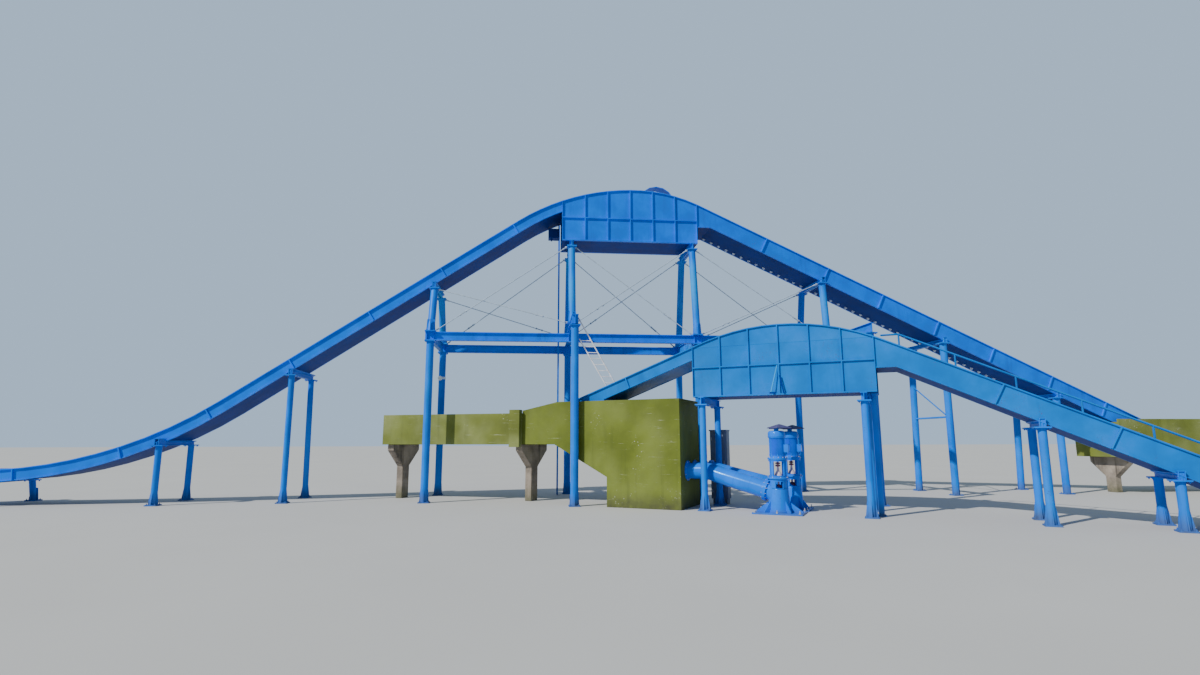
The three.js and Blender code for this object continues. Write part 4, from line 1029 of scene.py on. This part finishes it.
class FLUME_OT_handrail(bpy.types.Operator):
    """Round handrail along the far side of the small ramp, with posts on small plates"""
    bl_idname = "flume.handrail"
    bl_label = "Handrail"

    def execute(self, context):
        steel = context.scene.flume_steelwork
        radius = steel.rail_radius
        inward = SMALL_PLACE.inverted()
        points = [inward @ v.co for v in NODES["small_handrail"].data.vertices]
        y = (min(p.y for p in points) + max(p.y for p in points)) / 2
        path = []
        for x in (min(p.x for p in points), HANDRAIL_BEND, max(p.x for p in points)):
            top = max(p.z for p in points if abs(p.x - x) < 0.002)
            path.append(Vector((x, y, top - radius)))
        start, turn, end = path
        shape = Shape(SMALL_PLACE)
        rim = surface("small_ramp_far_side")
        slope = (end - turn).normalized()
        for i in range(HANDRAIL_POSTS):
            top = turn.lerp(end - slope * radius, i / (HANDRAIL_POSTS - 1))
            self.add_post(shape, top, rim, slope, radius * 0.9)
        shape.tube([start, turn - Vector((radius, 0, 0)), turn + slope * radius, end], radius, 18)
        for knob_place in (start, end):
            knob = [(0.4, -0.9), (0.85, -0.5), (1, 0), (0.85, 0.5), (0.4, 0.9)]
            shape.turned([(r * radius, z * radius) for r, z in knob], Matrix.Translation(knob_place), 18)
        add_piece(shape, "small_handrail_tube", ["small_paint"], ["small_handrail"])
        return {"FINISHED"}

    def add_post(self, shape, top, rim, slope, radius):
        """A post from the rail down to a plate that lies along the rim."""
        under, _ = hit(rim, SMALL_PLACE @ top, (0, 0, -1))
        foot = Vector((top.x, top.y, under.z + SEAM))
        shape.tube([foot, top], radius, 18)
        plate = Matrix.Translation(foot) @ Matrix.Rotation(-math.atan2(slope.z, slope.x), 4, "Y")
        shape.box((-0.03, -0.02, 0), (0.03, 0.02, 0.008), plate)
        for side in (-0.022, 0.022):
            shape.bolt(plate @ Vector((side, 0, 0.008)), plate.to_3x3() @ Vector((0, 0, 1)), 0.005, 0.003)
        shape.bead(radius, 0.003, plate @ Matrix.Translation((0, 0, 0.009)), 18)


class FLUME_OT_ladders(bpy.types.Operator):
    """Finish of the two ladders"""
    bl_idname = "flume.ladders"
    bl_label = "Ladders"

    def execute(self, context):
        dress("access_ladder", "column_paint", 0.0015)
        dress("leaning_ladder", "ladder_metal", 0.0015)
        return {"FINISHED"}


# Tank and troughs

class FLUME_OT_tank(bpy.types.Operator):
    """Sheets of the tank and troughs, and the concrete piers"""
    bl_idname = "flume.tank"
    bl_label = "Tank and troughs"

    def execute(self, context):
        for node in NODES:
            if node.startswith("tank_"):
                dress(node, "tank_paint", 0.004)
            elif node in ("trough_bay", "receiving_trough"):
                dress(node, "trough_paint", 0.004)
            elif "pier" in node:
                dress(node, "concrete", 0.012)
        return {"FINISHED"}


# Pumps and their pipes

def line_to_tank(pump):
    """The start, direction and corner of a delivery pipe, in the small hill's direction."""
    axis = Vector((*pump["place"], PIPE_PUMP_Z))
    corner = Vector((0.1, pump["tank"], PIPE_TANK_Z))
    return axis, (corner - axis).normalized(), corner


def flange_ring(shape, place, radius):
    """A flange as thick as all of them, from the foot of its place upwards."""
    shape.band((PIPE_BORE, radius), (0, FLANGE_THICK), place)


def add_lantern(shape, place, heights, windows, half):
    """An open body: two rings joined by four walls, with framed windows between them."""
    radii = (LANTERN - LANTERN_WALL, LANTERN)
    z0, z1 = heights
    w0, w1 = windows
    for low, high in ((z0, w0), (w1, z1)):
        shape.band(radii, (low, high), place)
    side = math.asin(half / LANTERN)
    lip = (LANTERN - 0.004, LANTERN + 0.006)
    for k in range(4):
        a = WINDOW_TURN + k * math.pi / 2
        shape.panel(radii, (w0, w1), (a + side, a + math.pi / 2 - side), place, 10)
        for edge in (a - side - FRAME_TURN, a + side):
            shape.panel(lip, (w0 - 0.008, w1 + 0.008), (edge, edge + FRAME_TURN), place, 2)
        for low in (w0 - 0.012, w1):
            ends = (a - side - FRAME_TURN, a + side + FRAME_TURN)
            shape.panel(lip, (low, low + 0.012), ends, place, 8)


def add_motor(shape, place):
    """A finned motor with a foot flange, a terminal box, a fan cowl and a stem for the hat."""
    root, tip = 0.112, 0.128
    step = 2 * math.pi / MOTOR_FINS
    outline = []
    for i in range(MOTOR_FINS):
        for r, lean in ((root, -0.34), (tip, -0.16), (tip, 0.16), (root, 0.34)):
            outline.append((r * math.cos((i + lean) * step), r * math.sin((i + lean) * step)))
    shape.loft([[(x, y, z) for x, y in outline] for z in (0.935, 1.235)], place)
    shape.turned([(0.118, 0.89), (0.118, 0.9), (0.128, 0.905), (0.128, 0.935), (0.12, 0.94)], place)
    shape.turned([(0.165, 0.875), (0.165, 0.903), (0.16, 0.907)], place)
    cowl = [(0.122, 1.225), (0.14, 1.235), (0.142, 1.24), (0.142, 1.31), (0.136, 1.33), (0.12, 1.345),
            (0.08, 1.352)]
    shape.turned(cowl, place)
    shape.ring([(0.1425, 1.255), (0.146, 1.257), (0.146, 1.267), (0.1425, 1.269)], place)
    for k in range(8):
        lug = place @ Matrix.Rotation(k * math.pi / 4 + 0.2, 4, "Z")
        shape.box((0.11, -0.009, 0.925), (0.132, 0.009, 0.965), lug)
    add_terminal_box(shape, place @ Matrix.Translation((0.15, 0.0, 1.06)))
    shape.bar(0.04, 1.345, 1.4, place, 24)


def add_terminal_box(shape, place):
    """A box with a bolted lid on its +X side and a cable gland below."""
    lid = 0.04
    shape.box((-0.035, -0.055, -0.065), (0.03, 0.055, 0.065), place)
    shape.box((0.03, -0.06, -0.07), (lid, 0.06, 0.07), place)
    gland = facing(place @ Vector((0, 0, -0.065)), (0, 0, -1))
    shape.turned([(0.016, 0), (0.016, 0.035), (0.011, 0.04), (0.011, 0.06)], gland, 12)
    for y in (-0.048, 0.048):
        for z in (-0.057, 0.057):
            shape.bolt(place @ Vector((lid, y, z)), (1, 0, 0), 0.006)


def add_pump_base(shape, place, reach):
    """The base plate, the tapered casing on it and the fins between them."""
    shape.box((-reach, -PUMP_ACROSS, 0), (reach, PUMP_ACROSS, BASE_THICK), place)
    casing = [(0.2, 0.02), (0.2, 0.05), (0.185, 0.056), (LANTERN + 0.004, 0.385), (LANTERN, 0.395)]
    shape.turned(casing, place)
    shape.bead(0.186, 0.006, raised(place, 0.052))
    inside, half = 0.12, 0.008
    fins = [(math.pi / 4 + k * math.pi / 2, 0.3, 0.23) for k in range(4)]
    fins += [(k * math.pi, reach - 0.03, 0.2) for k in range(2)]
    for turn, end, top in fins:
        fin = [(inside, -half, BASE_THICK), (end, -half, BASE_THICK), (end, -half, 0.04),
               (0.155, -half, top), (inside, -half, top)]
        shape.slab(fin, (0, 2 * half, 0), place @ Matrix.Rotation(turn, 4, "Z"))


def add_hat(shape, place):
    """A rain hat of folded sheet on two flat bars."""
    hat = place @ Matrix.Translation((HAT_SHIFT, 0, 0))
    rings = []
    for reach, z in ((0.203, 1.392), (0.205, 1.404), (0.012, 1.462)):
        rings.append([(reach, 0, z), (0, reach, z), (-reach, 0, z), (0, -reach, z)])
    shape.loft(rings, hat)
    shape.box((-0.17, -0.012, 1.382), (0.13, 0.012, 1.394), hat)
    shape.box((-0.062, -0.13, 1.382), (-0.038, 0.13, 1.394), hat)


def add_coupling(shape, place):
    """The shaft with its pale cone, and in the next finish the coupling's rings."""
    shape.bar(0.018, 0.36, 0.6, place, 20)
    cone = [(0.07, 0.6), (0.066, 0.625), (0.036, 0.67), (0.022, 0.69), (0.018, 0.74), (0.018, 0.87)]
    shape.turned(cone, place, 28)
    shape.bolt_circle(6, 0.052, 0.612, 0.006, place)
    shape.finish += 1
    rings = [
        [(0.03, 0.76), (0.042, 0.765), (0.042, 0.782), (0.03, 0.788)],
        [(0.03, 0.8), (0.042, 0.805), (0.042, 0.82), (0.03, 0.825)],
        [(0.05, 0.41), (0.055, 0.43), (0.055, 0.45), (0.03, 0.465)],
    ]
    for profile in rings:
        shape.turned(profile, place, 28)


def add_pump(pump):
    axis, along, _ = line_to_tank(pump)
    x, y = pump["place"]
    reach = pump["reach"]
    shape = Shape(SMALL_PLACE)
    place = Matrix.Translation((x, y, 0))
    add_pump_base(shape, place, reach)
    shape.band((0.1, LANTERN), (0.39, 0.41), place)
    add_lantern(shape, place, (0.4, 0.56), (0.41, 0.52), 0.058)
    shape.bar(0.175, 0.56, 0.585, place)
    shape.ring([(0.1, 0.585), (LANTERN + 0.01, 0.585), (LANTERN, 0.6), (0.1, 0.6)], place)
    add_lantern(shape, place, (0.59, 0.875), (0.615, 0.845), 0.085)
    add_motor(shape, place)
    below = Vector((x, y, PIPE_PUMP_Z - ELBOW))
    elbow = [*bezier(axis + along * ELBOW, axis, below, 20), Vector((x, y, 0.03))]
    shape.tube(elbow, ELBOW_RADIUS, 48)
    flange = facing(axis + along * ELBOW, along)
    flange_ring(shape, flange, PIPE_FLANGE)
    shape.bead(ELBOW_RADIUS, 0.007, raised(flange, -0.004))
    shape.finish = 1
    for sx in (-0.9, 0, 0.9):
        for sy in (-0.88, 0.88):
            anchor = place @ Vector((sx * reach, sy * PUMP_ACROSS, BASE_THICK))
            shape.bolt(anchor, (0, 0, 1), 0.017, 0.03)
    shape.bolt_circle(8, 0.167, 0.585, 0.0075, place, stud=0.006)
    shape.bolt_circle(12, 0.148, 0.905, 0.009, place, stud=0.008)
    shape.bolt_circle(12, 0.168, 0, 0.009, flange, down=True, stud=0.008)
    shape.finish = 2
    add_coupling(shape, place)
    shape.finish = 4
    add_hat(shape, place)
    name = pump["name"] + "_pump"
    finishes = ["pump_paint", "nut_metal", "coupling_finish", "coupling_primer", "hat_sheet"]
    add_piece(shape, name + "_set", finishes, [name])


def add_delivery_pipe(pump):
    axis, along, corner = line_to_tank(pump)
    shape = Shape(SMALL_PLACE)
    start = axis + along * (ELBOW + FLANGE_THICK + SEAM)
    turn_start = corner - along * 0.3
    left = Vector((0.118, corner.y, corner.z))
    path = [start, *bezier(turn_start, corner + Vector((0.06, 0, 0)), left, 10)]
    shape.tube(path, PIPE_RADIUS, 48, STUB_RADIUS)
    flange = facing(start, along)
    flange_ring(shape, flange, PIPE_FLANGE)
    shape.bead(PIPE_RADIUS, 0.007, raised(flange, FLANGE_THICK + 0.003))
    level = Vector((-1, 0, 0))
    near, far = facing(left, level), facing(left + level * (FLANGE_THICK + SEAM), level)
    for joint in (near, far):
        flange_ring(shape, joint, STUB_FLANGE)
    shape.bead(STUB_RADIUS, 0.007, raised(near, -0.003))
    shape.bead(STUB_RADIUS, 0.007, raised(far, FLANGE_THICK + 0.003))
    wall = Vector((TANK_RIGHT + SEAM, corner.y, corner.z))
    shape.tube([left + level * (FLANGE_THICK + 0.01), wall], STUB_RADIUS, 48)
    collar = facing(wall, -level)
    shape.bar(STUB_FLANGE, 0, 0.014, collar)
    shape.bead(STUB_RADIUS, 0.008, raised(collar, 0.016))
    for share in (0.33, 0.67):
        shape.bead(PIPE_RADIUS - 0.001, 0.004, facing(start.lerp(turn_start, share), along), 48)
    shape.finish = 1
    shape.bolt_circle(12, 0.168, FLANGE_THICK, 0.009, flange, stud=0.006)
    shape.bolt_circle(12, 0.16, 0, 0.009, near, down=True, stud=0.006)
    shape.bolt_circle(12, 0.16, FLANGE_THICK, 0.009, far, stud=0.006)
    shape.bolt_circle(8, 0.164, 0.014, 0.008, collar, stud=0.005)
    name = pump["name"] + "_delivery_pipe"
    add_piece(shape, name + "_tube", ["pump_paint", "nut_metal"], [name])


class FLUME_OT_pumps(bpy.types.Operator):
    """The two vertical pumps with their motors and rain hats, and their delivery pipes"""
    bl_idname = "flume.pumps"
    bl_label = "Pumps"

    def execute(self, context):
        for pump in PUMPS:
            add_pump(pump)
            add_delivery_pipe(pump)
        return {"FINISHED"}


# Small fittings

class FLUME_OT_fittings(bpy.types.Operator):
    """Control cabinet, drive box, fascia prop, chain bracket and floodlight"""
    bl_idname = "flume.fittings"
    bl_label = "Small fittings"

    def execute(self, context):
        dress("control_cabinet", "cabinet_paint", 0.004)
        # The drive box takes the dark painted-shade blue.
        dress("drive_box", "painted_shade_paint", 0.003)
        self.add_cabinet_door()
        self.add_drive_box_cover()
        self.add_prop()
        self.add_chain_bracket()
        self.add_floodlight()
        return {"FINISHED"}

    def add_cabinet_door(self):
        """Handle, hinges and louvres on the cabinet's door."""
        shape = Shape(SMALL_PLACE)
        x0, x1, y, z0, z1 = -0.04, 0.235, 1.24, 0.15, 1.325
        for z in (z0 + 0.1, (z0 + z1) / 2, z1 - 0.1):
            shape.bar(0.008, 0, 0.06, Matrix.Translation((x0 + 0.008, y - 0.008, z - 0.03)), 12)
        shape.bar(0.016, 0, 0.006, facing((x1 - 0.03, y, 0.75), (0, -1, 0)), 20)
        shape.box((x1 - 0.038, y - 0.022, 0.72), (x1 - 0.022, y - 0.006, 0.81))
        side = 0.07
        for i in range(6):
            z = z1 - 0.08 - i * 0.018
            blade = [(x0 + side, y, z), (x0 + side, y - 0.009, z - 0.009), (x0 + side, y, z - 0.011)]
            shape.slab(blade, (x1 - x0 - 2 * side, 0, 0))
        add_piece(shape, "cabinet_door_fittings", ["nut_metal"])

    def add_drive_box_cover(self):
        """Bolted cover and cable gland of the drive box."""
        low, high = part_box("drive_box")
        top = low.z + 0.215
        edge, bolt_edge = 0.02, 0.035
        outside = low.y - 0.008
        shape = Shape()
        shape.box((low.x + edge, outside, low.z + edge), (high.x - edge, low.y, top - edge))
        for x in (low.x + bolt_edge, high.x - bolt_edge):
            for z in (low.z + bolt_edge, top - bolt_edge):
                shape.bolt((x, outside, z), (0, -1, 0), 0.008)
        gland = facing((low.x + 0.07, (low.y + high.y) / 2, low.z), (0, 0, -1))
        shape.turned([(0.02, 0), (0.02, 0.02), (0.013, 0.025), (0.013, 0.05)], gland, 16)
        # Its cover takes the painted-shade blue too.
        add_piece(shape, "drive_box_cover", ["painted_shade_paint"])

    def add_prop(self):
        """A thin prop from the fascia's middle rib down to a bracket on its bottom flange."""
        shape = Shape(SMALL_PLACE)
        face = -RIB_OUT - 0.006
        top, foot = Vector((1.475, face, 2.43)), Vector((1.37, face - 0.055, 1.99))
        shape.tube([top, foot], 0.009, 12)
        shape.bolt(top, (0, -1, 0), 0.009, 0.004)
        # The bracket and arms below take the painted-shade blue.
        shape.finish = 1
        shape.box(foot - Vector((0.025, 0.006, 0.03)), foot + Vector((0.07, 0.004, 0.0)))
        x = 1.42
        arm = [(x, foot.y, 1.97), (x, 0.0, 1.955), (x, 0.0, 1.945), (x, foot.y, 1.96)]
        shape.slab(arm, (0.012, 0, 0))
        shape.tube([(1.515, face - 0.01, 2.27), (1.575, face - 0.02, 1.965)], 0.012, 10)
        add_piece(shape, "fascia_prop", ["prop_paint", "painted_shade_paint"])

    def add_chain_bracket(self):
        """The I-section end that stands above the far rim of the small crest."""
        shape = Shape(SMALL_PLACE)
        rim, _ = hit(surface("small_fascia_back"), SMALL_PLACE @ Vector((2.88, 0.865, 5)), (0, 0, -1))
        x0, x1, thick = 2.8, 2.96, 0.012
        foot = rim.z + SEAM
        low, top = foot + thick, foot + 0.1
        shape.box((x0, 0.8, foot), (x1, 0.93, low))
        for x in (2.83, 2.918):
            shape.box((x, 0.84, low), (x + thick, 0.9, top))
        shape.box((2.83, 0.864, low), (2.93, 0.876, top))
        shape.box((x0, 0.82, top), (x1, 0.92, foot + 0.112))
        for x in (2.815, 2.945):
            shape.bolt((x, 0.835, low), (0, 0, 1), 0.01, 0.006)
        add_piece(shape, "chain_bracket", ["small_paint"])

    def add_floodlight(self):
        """A small floodlight on the back column of the first portal."""
        foot, _ = columns_of("lower_portal_1")[1]
        shape = Shape()
        clamp = Matrix.Translation((foot.x, foot.y, 2.62))
        shape.band((0.0755, 0.081), (-0.03, 0.03), clamp)
        shape.box((-0.016, -0.1, -0.01), (-0.004, -0.078, 0.01), clamp)
        lamp = facing(clamp @ Vector((-0.01, -0.1, 0)), (-0.2, -1, -0.25))
        shape.turned([(0.022, 0), (0.05, 0.045), (0.054, 0.05), (0.054, 0.056), (0.048, 0.057)], lamp, 28)
        add_piece(shape, "floodlight", ["zinc"])


# Stage

class FLUME_OT_stage(bpy.types.Operator):
    """A pale floor, soft light and the camera"""
    bl_idname = "flume.stage"
    bl_label = "Stage"

    def execute(self, context):
        stage = context.scene.flume_stage
        half = stage.floor_half
        corners = [(-half, -half, 0), (half, -half, 0), (half, half, 0), (-half, half, 0)]
        mesh = bpy.data.meshes.new("floor")
        mesh.from_pydata(corners, [], [(0, 1, 2, 3)])
        mesh.materials.append(MATERIALS["floor_finish"])
        floor = bpy.data.objects.new("floor", mesh)
        context.scene.collection.objects.link(floor)
        floor.location.z = -FLOOR_DROP
        self.add_sky(context, stage)
        self.add_sun(context, stage.key_strength)
        self.add_camera(context, stage)
        return {"FINISHED"}

    def add_sky(self, context, stage):
        """An even sky, and a pale backdrop that only the camera sees."""
        world = bpy.data.worlds.new("studio")
        context.scene.world = world
        world.use_nodes = True
        tree = world.node_tree
        tree.nodes.clear()
        even = {"Color": SKY_COLOUR, "Strength": stage.sky_strength}
        sky = add(tree, "ShaderNodeBackground", even)
        backdrop = {"Color": BACKDROP_COLOUR, "Strength": stage.backdrop_strength}
        shown = add(tree, "ShaderNodeBackground", backdrop)
        seen = add(tree, "ShaderNodeLightPath").outputs["Is Camera Ray"]
        both = add(tree, "ShaderNodeMixShader", {0: seen, 1: sky.outputs[0], 2: shown.outputs[0]})
        add(tree, "ShaderNodeOutputWorld", {0: both.outputs[0]})

    def add_sun(self, context, power):
        data = bpy.data.lights.new("key", "SUN")
        data.energy = power
        data.angle = math.radians(1.0)
        data.color = SUN_COLOUR
        sun = bpy.data.objects.new("key", data)
        sun.rotation_euler = Vector(SUN_TOWARDS).to_track_quat("Z", "Y").to_euler()
        context.scene.collection.objects.link(sun)

    def add_camera(self, context, stage):
        data = bpy.data.cameras.new("camera")
        data.sensor_width = 36.0
        data.lens = stage.lens
        data.clip_start = 0.1
        data.clip_end = 500.0
        camera = bpy.data.objects.new("camera", data)
        turn = (
            Matrix.Rotation(-stage.camera_yaw, 4, "Z")
            @ Matrix.Rotation(math.pi / 2 + stage.camera_pitch, 4, "X")
            @ Matrix.Rotation(stage.camera_roll, 4, "Z")
        )
        camera.matrix_world = Matrix.Translation(stage.camera_place) @ turn
        context.scene.collection.objects.link(camera)
        context.scene.camera = camera


class FLUME_PT_panel(bpy.types.Panel):
    """Lists the settings and the steps"""
    bl_idname = "FLUME_PT_panel"
    bl_label = "Log flume"
    bl_space_type = "VIEW_3D"
    bl_region_type = "UI"
    bl_category = "Flume"

    def draw(self, context):
        layout = self.layout
        for owner in (context.scene.flume_paint, context.scene.flume_steelwork, context.scene.flume_stage):
            box = layout.box()
            for name in owner.__annotations__:
                box.prop(owner, name)
        for operator in OPERATORS:
            layout.operator(operator.bl_idname)


OPERATORS = [
    FLUME_OT_stage, FLUME_OT_channels, FLUME_OT_trestles, FLUME_OT_middle_frame, FLUME_OT_tie_rods,
    FLUME_OT_rollers, FLUME_OT_handrail, FLUME_OT_ladders, FLUME_OT_tank, FLUME_OT_pumps, FLUME_OT_fittings,
]
CLASSES = [FlumePaint, FlumeSteelwork, FlumeStage, *OPERATORS, FLUME_PT_panel]


def register():
    for cls in CLASSES:
        bpy.utils.register_class(cls)
    bpy.types.Scene.flume_paint = PointerProperty(type=FlumePaint)
    bpy.types.Scene.flume_steelwork = PointerProperty(type=FlumeSteelwork)
    bpy.types.Scene.flume_stage = PointerProperty(type=FlumeStage)


def unregister():
    del bpy.types.Scene.flume_stage
    del bpy.types.Scene.flume_steelwork
    del bpy.types.Scene.flume_paint
    for cls in reversed(CLASSES):
        bpy.utils.unregister_class(cls)


def main():
    register()
    build_materials(bpy.context.scene.flume_paint)
    bpy.ops.flume.stage()
    bpy.ops.flume.channels()
    bpy.ops.flume.trestles()
    bpy.ops.flume.middle_frame()
    bpy.ops.flume.tie_rods()
    bpy.ops.flume.rollers()
    bpy.ops.flume.handrail()
    bpy.ops.flume.ladders()
    bpy.ops.flume.tank()
    bpy.ops.flume.pumps()
    bpy.ops.flume.fittings()


if __name__ == "__main__":
    main()
